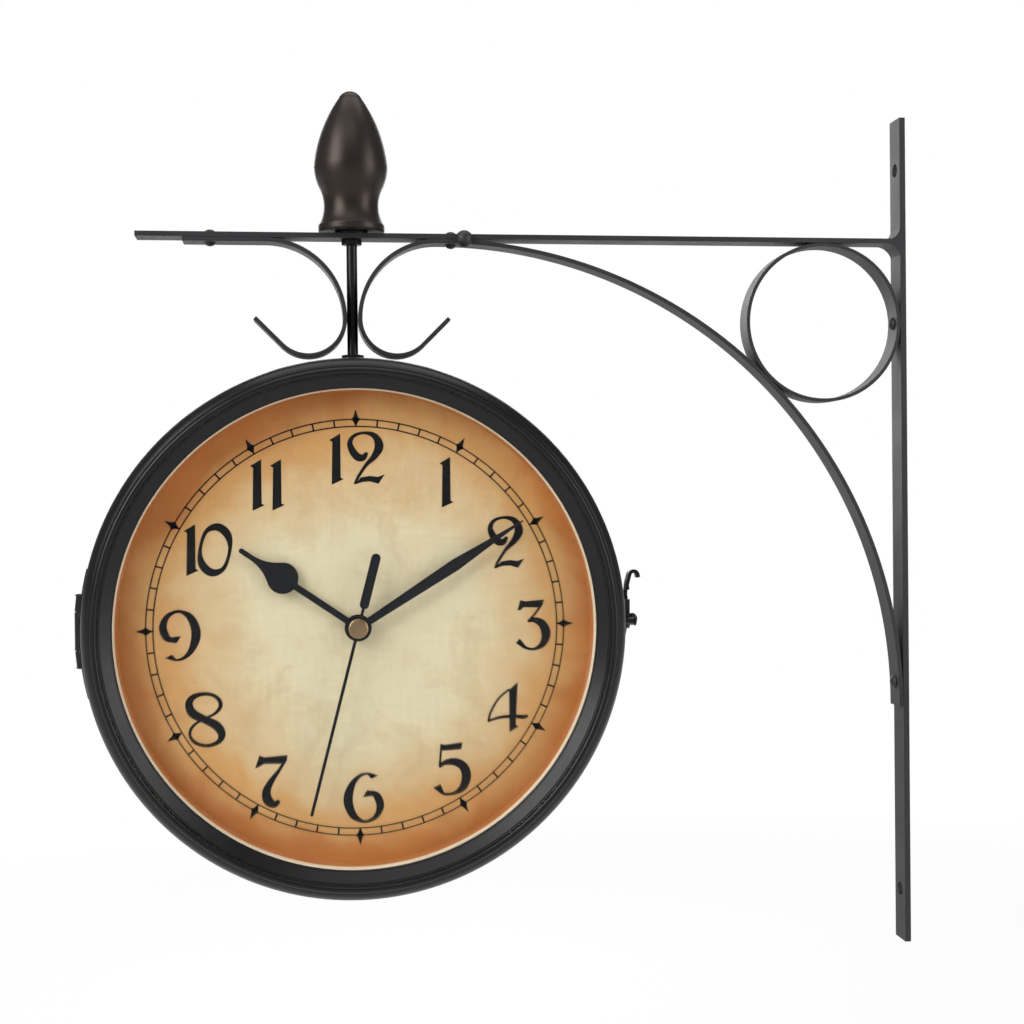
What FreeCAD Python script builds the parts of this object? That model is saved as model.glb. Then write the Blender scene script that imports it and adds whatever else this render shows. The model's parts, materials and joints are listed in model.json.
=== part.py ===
import FreeCAD, Part
import math
import os

# Double sided station clock on a scrolled wall bracket. Millimetres.
# Row frame: X towards the wall, Y from the front dial to the rear dial, Z up.
# Origin: on the wall, midway between the two fixing holes of the wall strip.

# ---- driving dimensions: bracket ------------------------------------------------
strip_height = 310.0      # wall strip, top to bottom
strip_thick = 2.2
bar_width = 10.0          # width of every flat bar of the bracket
hole_inset = 19.0         # fixing hole centre from the end of the wall strip
hole_dia = 5.0
arm_reach = 283.5         # wall to the free end of the arm
arm_drop = 45.4           # top of the wall strip to the top of the arm
arm_thick = 1.8
band_thick = 1.5          # bent bars: brace and scrolls
ring_thick = 1.3
stem_reach = 207.0        # wall to the axis of the stem
rod_dia = 3.9
rod_touch = 0.05          # scrolls stop this far short of the rod
scroll_radius = 28.2      # large bend of a scroll, on the bar's middle line
curl_radius = 13.2        # small bend that turns the scroll's tip up
curl_angle = 135.0
scroll_tip = 13.5         # straight end of a scroll
brace_flat = 1.0          # straight stretch of the brace against the arm
brace_foot = 1.2          # straight stretch of the brace against the wall strip
scroll_end = 267.0        # wall to the left scroll's flat end
left_rivet_reach = 257.5
brace_rivet_reach = 171.0
bead_reach = 166.5        # weld bead on the front edge of arm and brace
bead_radius = 3.2
foot_rivet_rise = 9.0     # above the lower end of the brace
rivet_radius = 1.4
rivet_head_radius = 2.5
rivet_head_height = 1.5
head_seat = 0.05          # heads stand this far clear of a bent bar
weld_over = 3.2           # weld fillet above the arm: along the arm, then up the wall
weld_over_rise = 4.0
weld_under = 5.0
weld_under_drop = 4.2
weld_hollow = 0.36        # how far the fillet's hollow lies from its corner, as a share
drill_over = 6.0          # how far a hole's cutter stands out of the arm
drill_inset = 4.0         # how far inside the case wall a hole's cutter begins

# ---- driving dimensions: finial and stem --------------------------------------
finial_height = 51.0
finial_bulb = 13.3        # radius at the widest place
finial_waist = 9.9
finial_base = 12.0
finial_point = 3.7        # radius where the rounded point begins
finial_socket = 23.0
foot_share = 0.052        # heights up the finial, as shares of its height
waist_share = 0.205
shoulder_share = 0.32
bulb_share = 0.463
point_share = 0.957
shoulder_out = 1.9        # radius of the shoulder beyond the waist's
bulb_under = 0.35         # how far the bulb is in, midway below its widest place
foot_round = 0.6          # rounding of the foot's edge, along the radius
foot_rise = 0.8           # the same, up the axis
washer_thick = 0.8
washer_radius = 4.5
finial_washer_radius = 6.0
nut_flats = 7.0
nut_height = 3.2
arm_nut_flats = 6.4
arm_nut_height = 2.0
rod_end_below_nut = 1.2

# ---- driving dimensions: case -----------------------------------------------------
stem_show = 47.5          # top of the arm to the top of the case
rim_radius = 92.5         # outside of the drum and of both bezels
case_depth = 85.0         # crest to crest of the bezels
wall = 1.2                # drum and bezel skirt
bezel_depth = 21.5        # crest of a bezel back to its seam with the drum
seam_gap = 0.2
groove_place = 8.0        # rolled grooves of the drum, from the middle plane
groove_depth = 0.6
groove_half = 1.3
bezel_land = 10.5         # outside of the bezel in to its sight opening
lip_depth = 5.7           # crest of the bezel back to the outer face of the glass
lip_edge = 0.4
shoulder_depth = 8.4      # rolled shoulder of the bezel: from the crest back, then inwards
shoulder_bulge = (0.75, 4.3)
shoulder_end = (3.3, 1.5)
bead_start = (3.7, 2.1)
bead_crest = 4.9
bead_end = (6.1, 1.5)
bead_groove = (6.4, 2.3)
glass_thick = 1.5
spacer_height = 7.3       # dial to glass
dial_thick = 0.6
dial_play = 0.3           # dial and spacer inside the carrier's edge
carrier_thick = 1.4
snap_thick = 1.1
stack_play = 0.4          # glass and carrier inside the skirt
spacer_flange = 1.2
spacer_wall = 1.3
spacer_draft = 0.6        # the spacer opens this much from dial to glass
snap_bite = 0.5           # depth of the snap ring's groove in the skirt
snap_width = 2.8
snap_opening = 10.0       # degrees left open in the snap ring
fit = 0.05                # radial clearance of shafts, pins and seats
arc_sag = 0.1             # turned arcs are stepped within this distance of the true curve

# ---- driving dimensions: hinge ----------------------------------------------------
leaf_thick = 0.8
knuckle_radius = 1.9
knuckle_lift = 0.3        # knuckles stand this far clear of the drum
pin_radius = 1.1
barrel_length = 24.6
outer_knuckle = 5.5
knuckle_gap = 0.2
leaf_neck = 2.2           # pin axis to the leaf's inner edge
leaf_reach = 11.5
leaf_wing = 22.0          # half height of the leaf's outer edge
leaf_rivet_reach = 7.0
leaf_rivet_spread = 6.0
leaf_rivet_radius = 0.9
leaf_rivet_head = 1.8
leaf_rivet_rise = 0.7
pin_head_radius = 1.7
pin_head_height = 0.7

# ---- driving dimensions: latch ----------------------------------------------------
pivot_back = 6.5          # latch pivot behind the seam
hook_radius = 9.0         # pivot to keeper stud
latch_half_length = 13.0
latch_half_width = 5.8
latch_edge = 0.9
latch_crown = 3.7
lever_gap = 0.25
lever_thick = 1.4
lever_hub = 3.4
lever_half = 2.8
lever_flat = 11.2         # pivot to the start of the horn
horn_half = 1.8
horn_thick = 1.3
horn_lean = 15.0
horn_bend = 6.0
horn_length = 3.0
curl_bend = 1.5
curl_turn = 150.0
curl_tail = 1.2
notch_radius = 1.7
stud_radius = 1.1
stud_head_radius = 1.7
stud_head_height = 0.8
keeper_half_length = 5.6
keeper_half_width = 2.4
keeper_thick = 0.8
keeper_foot_radius = 2.2
keeper_foot_height = 1.4
pivot_radius = 1.4
knob_radius = 2.3
knob_height = 3.0

# ---- driving dimensions: movement and hands -------------------------------------
movement_side = 56.0
movement_depth = 16.0
movement_corner = 4.0
bush_radius = 3.4
bush_rise = 1.8           # dial to the end of the threaded bush
bush_nut_radius = 4.5
bush_nut_height = 1.4
hour_tube_radius = 2.5
minute_arbor_radius = 1.7
second_pin_radius = 0.7
hour_rise = 2.2           # dial to the back of each hand
minute_rise = 3.6
second_rise = 4.9
hand_thick = 0.5
tube_stand = 0.2          # tubes stand this far out of their hands
hour_tube_depth = 3.6     # dial to the inner end of each shaft
minute_arbor_depth = 5.0
second_pin_depth = 6.4
bore_end_gap = 0.2
hour_hub = 4.65
minute_hub = 4.2
second_hub = 2.2
cap_radius = 3.45
cap_height = 0.9
hour_length = 48.7
hour_flare = 9.0          # from the bulb's shoulder to the spike
hour_shoulder = 0.55      # where the flare leaves the bulb, as a share of its radius
hour_flare_share = 0.42   # half width midway up the flare, as a share of its foot
hour_waist = 4.4
hour_bulb_place = 31.0
hour_bulb = 5.4
hour_stalk = 1.15
hour_point = 0.9
minute_length = 68.0
minute_belly_place = 40.0
minute_belly = 2.1
minute_stalk = 1.2
minute_point = 0.25
second_length = 66.0
second_half = 0.55
tail_length = 26.4
tail_link = 7.0
tail_bend = (0.5, 1.6)
tail_half = 1.6
tail_neck = 0.9           # the tail's neck, as a share of the second hand's half width
tail_swell = 0.8          # half width where the tail swells, as a share of its widest
hour_rest = 304.5         # rest positions, clockwise from twelve
minute_rest = 57.7
second_rest = 194.6
battery_radius = 7.1
battery_length = 49.2
nipple_radius = 2.6
nipple_height = 1.2
bay_length = 53.0
bay_clear = 0.35
bay_floor = 1.3
bay_edge = 2.2            # wall between the bay and the lower edge of the movement
contact_thick = 0.4
knob_place = 12.0         # setting knob above the centre
setting_knob_radius = 7.0
setting_knob_height = 3.0
setting_shaft_radius = 1.6
setting_shaft_seat = 2.0
knurl_count = 10
knurl_radius = 1.4

# ---- driving dimensions: joining ring ---------------------------------------------
join_thick = 0.95
join_reach = 3.6          # into the rear bezel
join_back = 4.0           # into the drum
join_screw_radius = 0.8
join_screw_head = 1.7
join_screw_rise = 0.7
join_screw_count = 3

# ---- worked out from the driving dimensions -----------------------------------------
half_bar = bar_width / 2.0
strip_top = strip_height / 2.0
arm_top = strip_top - arm_drop
arm_under = arm_top - arm_thick
rod_radius = rod_dia / 2.0
band_level = arm_under - band_thick / 2.0
touch = rod_radius + rod_touch + band_thick / 2.0
right_scroll_x = -stem_reach + touch + scroll_radius
brace_centre_x = right_scroll_x + brace_flat
brace_outer = -strip_thick - brace_centre_x
brace_radius = brace_outer - band_thick / 2.0
brace_centre_z = arm_under - brace_outer
# the ring is the circle that touches the arm, the wall strip and the brace
ring_radius = brace_outer / (1.0 + math.sqrt(2.0)) ** 2
ring_x = -strip_thick - ring_radius
ring_z = arm_under - ring_radius
case_x = -stem_reach
case_z = arm_top - stem_show - rim_radius
crest = case_depth / 2.0
seam = crest - bezel_depth
skirt_inner = rim_radius - wall
lip_radius = rim_radius - bezel_land
stack_radius = skirt_inner - stack_play
glass_face = crest - lip_depth
glass_back = glass_face - glass_thick
dial_face = glass_back - spacer_height
bush_end = dial_face + bush_rise
hour_level = dial_face + hour_rise
minute_level = dial_face + minute_rise
second_level = dial_face + second_rise
hour_tube_end = dial_face - hour_tube_depth
minute_arbor_end = dial_face - minute_arbor_depth
second_pin_end = dial_face - second_pin_depth
dial_back = dial_face - dial_thick
carrier_back = dial_back - carrier_thick
snap_back = carrier_back - snap_thick
drum_edge = seam - seam_gap / 2.0
bezel_edge = seam + seam_gap / 2.0
hinge_reach = rim_radius + knuckle_radius + knuckle_lift
pivot_level = seam - pivot_back
stud_level = pivot_level + hook_radius
lever_base = rim_radius + latch_crown + lever_gap
lever_top = lever_base + lever_thick
knob_base = lever_top + lever_gap
finial_foot = arm_top + washer_thick
movement_back = carrier_back - movement_depth
bay_radius = battery_radius + bay_clear
bay_v = -movement_side / 2.0 + bay_edge + bay_radius
bay_level = carrier_back - bay_floor - bay_radius

nodes = {}


# ---- small tools ----------------------------------------------------------------------
def spot(x, y, z):
    return FreeCAD.Vector(x, y, z)


def wall_plane(a, b):
    """Bracket outlines: a along X, b up Z, on the front edge of the bars."""
    return spot(a, -half_bar, b)


def turning_plane(radius, height):
    return spot(radius, 0, height)


def outline(plane, start, steps):
    """A closed wire. A step is a point, or a pair (point on an arc, end of the arc)."""
    edges = []
    here = start
    for step in list(steps) + [start]:
        if isinstance(step[0], tuple):
            arc = Part.Arc(plane(*here), plane(*step[0]), plane(*step[1]))
            edges.append(arc.toShape())
            here = step[1]
        elif math.dist(here, step) > 1e-6:
            edges.append(Part.LineSegment(plane(*here), plane(*step)).toShape())
            here = step
    return Part.Wire(edges)


def flat_piece(plane, start, steps, travel):
    return Part.Face(outline(plane, start, steps)).extrude(travel)


def chords(start, middle, end):
    """Points along the arc from start to end, close enough to stay within arc_sag of it."""
    arc = Part.Arc(turning_plane(*start), turning_plane(*middle), turning_plane(*end)).toShape()
    radius = arc.Curve.Radius
    count = max(2, math.ceil(arc.Length / radius / (2 * math.acos(1 - arc_sag / radius))))
    return [(point.x, point.z) for point in arc.discretize(Number=count + 1)[1:-1]] + [end]


def turned(start, steps):
    """Solid of revolution about the local Z axis; arcs of its outline are stepped finely."""
    points = [start]
    for step in steps:
        if isinstance(step[0], tuple):
            points += chords(points[-1], *step)
        else:
            points.append(step)
    face = Part.Face(outline(turning_plane, start, points[1:]))
    return face.revolve(spot(0, 0, 0), spot(0, 0, 1), 360)


def rod(radius, base, travel):
    return Part.makeCylinder(radius, travel.Length, base, travel)


def tube(outer, inner, low, high):
    """A ring about the local Z axis."""
    return turned((inner, low), [(outer, low), (outer, high), (inner, high)])


def bent_bar(plane, start, heading, steps, thickness, travel):
    """A flat bar bent on edge: steps are ('straight', length) or ('bend', radius, left turn)."""
    left = []
    right = []
    x, z = start
    angle = math.radians(heading)

    def side(offset):
        return (x - math.sin(angle) * offset, z + math.cos(angle) * offset)

    half = thickness / 2.0
    ends = [(side(half), side(-half))]
    for step in steps:
        before = (side(half), side(-half))
        if step[0] == "straight":
            x += math.cos(angle) * step[1]
            z += math.sin(angle) * step[1]
            middle = None
        else:
            radius = step[1]
            turn = math.radians(step[2])
            sense = math.copysign(1.0, turn)
            centre = (x - math.sin(angle) * radius * sense, z + math.cos(angle) * radius * sense)

            def on_arc(share):
                swung = angle + turn * share
                return (centre[0] + math.sin(swung) * radius * sense,
                        centre[1] - math.cos(swung) * radius * sense, swung)

            x, z, angle = on_arc(0.5)
            middle = (side(half), side(-half))
            x, z, angle = on_arc_end(centre, radius, sense, angle, turn)
        after = (side(half), side(-half))
        for points, rail in ((left, 0), (right, 1)):
            if middle is None:
                points.append(Part.LineSegment(plane(*before[rail]), plane(*after[rail])))
            else:
                arc = Part.Arc(plane(*before[rail]), plane(*middle[rail]), plane(*after[rail]))
                points.append(arc)
    ends.append((side(half), side(-half)))
    caps = [Part.LineSegment(plane(*end[0]), plane(*end[1])) for end in ends]
    edges = [curve.toShape() for curve in left + right + caps]
    wire = Part.Wire(Part.__sortEdges__(edges))
    return Part.Face(wire).extrude(travel)


def on_arc_end(centre, radius, sense, half_angle, turn):
    """The end of a bend, from the heading at its middle."""
    swung = half_angle + turn / 2.0
    return (centre[0] + math.sin(swung) * radius * sense,
            centre[1] - math.cos(swung) * radius * sense, swung)


def aimed(shape, base, direction):
    """Moves a shape made along local Z so that it starts at base and points along direction."""
    turn = FreeCAD.Rotation(spot(0, 0, 1), direction)
    moved = shape.copy()
    moved.Placement = FreeCAD.Placement(base, turn)
    return moved


def cap_arc(radius, foot, height):
    """Step of an outline: part of a sphere from (radius, foot) to the axis, this high."""
    sphere = (radius ** 2 + height ** 2) / (2 * height)
    half_angle = math.atan2(radius, sphere - height) / 2.0
    middle = (sphere * math.sin(half_angle), foot + height - sphere * (1 - math.cos(half_angle)))
    return (middle, (0.0, foot + height))


def dome(radius, height, foot):
    """A low round head whose flat side lies at foot."""
    return turned((0.0, foot), [(radius, foot), cap_arc(radius, foot, height)])


def rivet(base, direction, shank, grip, head, rise, tail_head=0.0, tail_rise=0.0):
    """Head outside base, shank along minus direction over the grip, and a tail head if given."""
    body = rod(shank, spot(0, 0, -grip), spot(0, 0, grip)).fuse(dome(head, rise, 0.0))
    if tail_head:
        tail = dome(tail_head, tail_rise, 0.0)
        tail.rotate(spot(0, 0, 0), spot(1, 0, 0), 180)
        tail.translate(spot(0, 0, -grip))
        body = body.fuse(tail)
    return aimed(body.removeSplitter(), base, direction)


def hexagon_nut(flats, height, bore, base):
    """A nut about the Z axis through base."""
    corner = flats / math.sqrt(3.0)
    points = [spot(corner * math.cos(math.radians(60 * step)),
                   corner * math.sin(math.radians(60 * step)), 0) for step in range(7)]
    block = Part.Face(Part.makePolygon(points)).extrude(spot(0, 0, height))
    nut = block.cut(rod(bore, spot(0, 0, -1), spot(0, 0, height + 2)))
    nut.translate(base)
    return nut


def washer(outer, bore, base):
    ring = tube(outer, bore, 0.0, washer_thick)
    ring.translate(base)
    return ring


def on_case(shape, side="front"):
    """From the dial's own frame (right, up, outwards) to the row frame, on one side."""
    moved = shape.copy()
    moved.rotate(spot(0, 0, 0), spot(1, 0, 0), 90)
    if side == "rear":
        moved.rotate(spot(0, 0, 0), spot(0, 0, 1), 180)
    moved.translate(spot(case_x, 0, case_z))
    return moved


def store(name, shape):
    nodes[name] = shape


def group(shapes):
    return Part.makeCompound(shapes)


# ---- bracket --------------------------------------------------------------------------------
def ring_rivet_hole():
    grip = strip_thick + ring_thick
    return rod(rivet_radius + fit, spot(-grip - 1, 0, ring_z), spot(grip + 2, 0, 0))


def foot_rivet_hole():
    grip = strip_thick + band_thick
    return rod(rivet_radius + fit, spot(-grip - 2, 0, foot_rivet_level()), spot(grip + 4, 0, 0))


def foot_rivet_level():
    return brace_centre_z - brace_foot + foot_rivet_rise


def arm_hole(reach, radius):
    return rod(radius, spot(-reach, 0, arm_under - drill_over), spot(0, 0, arm_thick + 2 * drill_over))


def make_wall_strip():
    strip = Part.makeBox(strip_thick, bar_width, strip_height, spot(-strip_thick, -half_bar, -strip_top))
    for end in (-1, 1):
        level = end * (strip_top - hole_inset)
        strip = strip.cut(rod(hole_dia / 2, spot(-strip_thick - 1, 0, level), spot(strip_thick + 2, 0, 0)))
    strip = strip.cut(ring_rivet_hole()).cut(foot_rivet_hole())
    store("wall_strip", strip)


def make_arm():
    length = arm_reach - strip_thick
    arm = Part.makeBox(length, bar_width, arm_thick, spot(-arm_reach, -half_bar, arm_under))
    arm = arm.cut(arm_hole(stem_reach, rod_radius + fit))
    arm = arm.cut(arm_hole(left_rivet_reach, rivet_radius + fit))
    arm = arm.cut(arm_hole(brace_rivet_reach, rivet_radius + fit))
    store("arm", arm)


def make_brace():
    """Quarter circle from the wall strip to the arm, run on into the scroll beside the stem."""
    start = (-strip_thick - band_thick / 2.0, brace_centre_z - brace_foot)
    steps = [("straight", brace_foot), ("bend", brace_radius, 90.0), ("straight", brace_flat),
             ("bend", scroll_radius, 90.0), ("bend", curl_radius, curl_angle),
             ("straight", scroll_tip)]
    bar = bent_bar(wall_plane, start, 90.0, steps, band_thick, spot(0, bar_width, 0))
    bar = bar.cut(arm_hole(brace_rivet_reach, rivet_radius + fit)).cut(foot_rivet_hole())
    store("scrolled_brace", bar)


def make_left_scroll():
    contact = -stem_reach - touch
    start = (-scroll_end, band_level)
    steps = [("straight", contact - scroll_radius + scroll_end), ("bend", scroll_radius, -90.0),
             ("bend", curl_radius, -curl_angle), ("straight", scroll_tip)]
    bar = bent_bar(wall_plane, start, 0.0, steps, band_thick, spot(0, bar_width, 0))
    store("left_scroll", bar.cut(arm_hole(left_rivet_reach, rivet_radius + fit)))


def make_ring():
    outer = Part.makeCylinder(ring_radius, bar_width, spot(ring_x, -half_bar, ring_z), spot(0, 1, 0))
    inner = Part.makeCylinder(ring_radius - ring_thick, bar_width,
                              spot(ring_x, -half_bar, ring_z), spot(0, 1, 0))
    store("bracket_ring", outer.cut(inner).cut(ring_rivet_hole()))


def bow(offset):
    """How far the brace's hollow side falls away, this far along from where its bend begins."""
    inner = brace_outer - band_thick
    return inner - math.sqrt(inner ** 2 - offset ** 2)


def make_bracket_rivets():
    tail = (rivet_head_radius * 0.9, rivet_head_height * 0.9)
    up = spot(0, 0, 1)
    away = spot(-1, 0, 0)
    grip = arm_thick + band_thick
    arm_offset = rivet_head_radius - brace_rivet_reach - brace_centre_x
    foot_offset = foot_rivet_level() + rivet_head_radius - brace_centre_z
    ring_seat = math.sqrt((ring_radius - ring_thick) ** 2 - rivet_head_radius ** 2)
    ring_grip = ring_radius - ring_seat + strip_thick
    foot_grip = strip_thick + band_thick + bow(foot_offset) + head_seat
    store("bracket_rivets", group([
        rivet(spot(-left_rivet_reach, 0, arm_top), up, rivet_radius, grip,
              rivet_head_radius, rivet_head_height, *tail),
        rivet(spot(-brace_rivet_reach, 0, arm_top), up, rivet_radius, grip + bow(arm_offset) + head_seat,
              rivet_head_radius, rivet_head_height, *tail),
        rivet(spot(-ring_grip, 0, ring_z), away, rivet_radius, ring_grip,
              rivet_head_radius, rivet_head_height),
        rivet(spot(-foot_grip, 0, foot_rivet_level()), away, rivet_radius, foot_grip,
              rivet_head_radius, rivet_head_height)]))


def weld_fillet(level, along, rise, sense):
    """A fillet in the corner of wall strip and arm, above or below the arm."""
    corner = (-strip_thick, level)
    on_wall = (-strip_thick, level + sense * rise)
    on_arm = (-strip_thick - along, level)
    hollow = (-strip_thick - along * weld_hollow, level + sense * rise * weld_hollow)
    return flat_piece(wall_plane, corner, [on_wall, (hollow, on_arm)], spot(0, bar_width, 0))


def make_welds():
    bead = turned((0.0, -bead_radius), [((bead_radius, 0.0), (0.0, bead_radius))])
    bead.translate(spot(-bead_reach, -half_bar, arm_under))
    bead = bead.cut(nodes["arm"]).cut(nodes["scrolled_brace"])
    bead = max(bead.Solids, key=lambda solid: solid.Volume)
    store("bracket_welds", group([weld_fillet(arm_top, weld_over, weld_over_rise, 1),
                                  weld_fillet(arm_under, weld_under, weld_under_drop, -1), bead]))


def make_finial():
    """A turned bud: foot bead, waist, bulb and a rounded point."""
    foot_high = finial_height * foot_share
    shoulder = finial_height * shoulder_share
    widest = finial_height * bulb_share
    waist = finial_height * waist_share
    tip = finial_height * point_share
    taper = finial_bulb - finial_point
    ogive = ((widest - tip) ** 2 + taper ** 2) / (2 * taper)
    mid_high = (widest + tip) / 2.0
    mid_wide = finial_bulb - ogive + math.sqrt(ogive ** 2 - (mid_high - widest) ** 2)
    low_bulb = ((widest + shoulder) / 2.0, finial_bulb - bulb_under)
    body = turned((0.0, 0.0), [
        (finial_base - foot_round, 0.0), (finial_base, foot_rise), (finial_base, foot_high),
        ((finial_waist, waist), (finial_waist + shoulder_out, shoulder)),
        ((low_bulb[1], low_bulb[0]), (finial_bulb, widest)),
        ((mid_wide, mid_high), (finial_point, tip)),
        cap_arc(finial_point, tip, finial_height - tip)])
    socket = rod(rod_radius + fit, spot(0, 0, -1), spot(0, 0, finial_socket + 1))
    body = body.cut(socket)
    body.translate(spot(-stem_reach, 0, finial_foot))
    store("finial", body)


def make_stem():
    inner_wall = case_z + skirt_inner
    wall_drop = skirt_inner - math.sqrt(skirt_inner ** 2 - washer_radius ** 2)
    inner_washer = inner_wall - wall_drop - washer_thick
    inner_nut = inner_washer - nut_height
    outer_washer = case_z + rim_radius
    low = inner_nut - rod_end_below_nut
    high = finial_foot + finial_socket - 1.0
    bore = rod_radius + fit
    axis = spot(-stem_reach, 0, 0)
    store("stem_rod", rod(rod_radius, axis + spot(0, 0, low), spot(0, 0, high - low)))
    store("finial_washer", washer(finial_washer_radius, bore, axis + spot(0, 0, arm_top)))
    store("arm_nut", hexagon_nut(arm_nut_flats, arm_nut_height, bore,
                                 axis + spot(0, 0, arm_under - arm_nut_height)))
    store("case_washers", group([washer(washer_radius, bore, axis + spot(0, 0, inner_washer)),
                                 washer(washer_radius, bore, axis + spot(0, 0, outer_washer))]))
    store("case_nuts", group([
        hexagon_nut(nut_flats, nut_height, bore, axis + spot(0, 0, inner_nut)),
        hexagon_nut(nut_flats, nut_height, bore, axis + spot(0, 0, outer_washer + washer_thick))]))


# ---- case -------------------------------------------------------------------------------------
def join_screw_spots():
    """Radial screws of the joining ring: direction and level, in the rear dial's frame."""
    spots = []
    for number in range(join_screw_count):
        angle = math.radians(30.0 + number * 360.0 / join_screw_count)
        direction = spot(math.cos(angle), math.sin(angle), 0)
        spots.append((direction, seam - join_back / 2.0))
        spots.append((direction, seam + join_reach / 2.0))
    return spots


def radial_hole(direction, level, radius):
    base = direction * (skirt_inner - drill_inset) + spot(0, 0, level)
    return rod(radius, base, direction * (wall + 2 * drill_inset))


def side_hole(side, level, height, radius):
    """A hole through the case wall at three or nine o'clock, parallel to the dial."""
    base = spot(side * (skirt_inner - drill_inset), height, level)
    return rod(radius, base, spot(side * (wall + 3 * drill_inset), 0, 0))


def leaf_rivet_spots(level):
    return [(level, spread) for spread in (-leaf_rivet_spread, leaf_rivet_spread)]


def make_drum():
    steps = [(rim_radius, -drum_edge)]
    for place in (-groove_place, groove_place):
        steps += [(rim_radius, place - groove_half), (rim_radius - groove_depth, place),
                  (rim_radius, place + groove_half)]
    steps += [(rim_radius, drum_edge), (skirt_inner, drum_edge)]
    drum = turned((skirt_inner, -drum_edge), steps)
    drum = drum.cut(rod(rod_radius + fit, spot(0, skirt_inner - 3, 0), spot(0, wall + 6, 0)))
    for level, spread in leaf_rivet_spots(seam - leaf_rivet_reach):
        drum = drum.cut(side_hole(-1, level, spread, leaf_rivet_radius + fit))
    drum = drum.cut(side_hole(1, pivot_level, 0.0, pivot_radius + fit))
    drum = on_case(drum)
    for direction, level in join_screw_spots():
        if level < seam:
            drum = drum.cut(on_case(radial_hole(direction, level, join_screw_radius + fit), "rear"))
    store("case_drum", drum)


def bezel_ring():
    """Moulded rim: skirt, rolled shoulder, bead between two grooves, cone down to the lip."""
    def rim_point(inset):
        return (rim_radius - inset[0], crest - inset[1])

    outer = [(rim_radius, bezel_edge), (rim_radius, crest - shoulder_depth),
             (rim_point(shoulder_bulge), rim_point(shoulder_end)), rim_point(bead_start),
             ((rim_radius - bead_crest, crest), rim_point(bead_end)), rim_point(bead_groove),
             (lip_radius + lip_edge, glass_face + 2 * lip_edge), (lip_radius, glass_face + lip_edge)]
    inner = [(lip_radius, glass_face), (skirt_inner, glass_face), (skirt_inner, carrier_back),
             (skirt_inner + snap_bite, carrier_back), (skirt_inner + snap_bite, snap_back)]
    return turned((skirt_inner, bezel_edge), outer + inner + [(skirt_inner, snap_back)])


def make_bezels():
    front = bezel_ring()
    for level, spread in leaf_rivet_spots(seam + leaf_rivet_reach):
        front = front.cut(side_hole(-1, level, spread, leaf_rivet_radius + fit))
    front = front.cut(side_hole(1, stud_level, 0.0, stud_radius + fit))
    store("front_bezel", on_case(front))
    rear = bezel_ring()
    for direction, level in join_screw_spots():
        if level > seam:
            rear = rear.cut(radial_hole(direction, level, join_screw_radius + fit))
    store("rear_bezel", on_case(rear, "rear"))


def make_joining_ring():
    outer = skirt_inner - fit
    ring = tube(outer, outer - join_thick, seam - join_back, seam + join_reach)
    screws = []
    for direction, level in join_screw_spots():
        ring = ring.cut(radial_hole(direction, level, join_screw_radius + fit))
        base = direction * rim_radius + spot(0, 0, level)
        screw = rivet(base, direction, join_screw_radius, wall + fit + join_thick,
                      join_screw_head, join_screw_rise)
        screws.append(on_case(screw, "rear"))
    store("joining_ring", on_case(ring, "rear"))
    store("joining_screws", group(screws))


def make_dial_stack(side):
    """Glass, spacer, dial, carrier and snap ring, stacked inside one bezel."""
    glass = rod(stack_radius, spot(0, 0, glass_back), spot(0, 0, glass_thick))
    foot = lip_radius - spacer_draft
    spacer = turned((foot, dial_face), [
        (stack_radius - dial_play, dial_face), (stack_radius - dial_play, dial_face + spacer_flange),
        (foot + spacer_wall, dial_face + spacer_flange), (lip_radius + spacer_wall, glass_back),
        (lip_radius, glass_back)])
    hole = bush_radius + fit
    dial = tube(stack_radius - dial_play, hole, dial_back, dial_face)
    carrier = tube(stack_radius, hole, carrier_back, dial_back)
    snap_outer = skirt_inner + snap_bite - fit
    snap = tube(snap_outer, snap_outer - snap_width, snap_back, carrier_back)
    half_open = math.radians(snap_opening / 2.0)
    reach = rim_radius * 1.1
    wedge = Part.Face(Part.makePolygon([
        spot(0, 0, snap_back - 1), spot(-reach * math.sin(half_open), -reach, snap_back - 1),
        spot(reach * math.sin(half_open), -reach, snap_back - 1), spot(0, 0, snap_back - 1)]))
    snap = snap.cut(wedge.extrude(spot(0, 0, snap_thick + 2)))
    for name, shape in (("glass", glass), ("spacer_ring", spacer), ("dial", dial),
                        ("dial_carrier", carrier), ("snap_ring", snap)):
        store(side + "_" + name, on_case(shape, side))


# ---- hinge --------------------------------------------------------------------------------------
def leaf_side(across, up):
    """Hinge and latch outlines: across is the level in the case, up is the height."""
    return spot(0, up, across)


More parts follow.
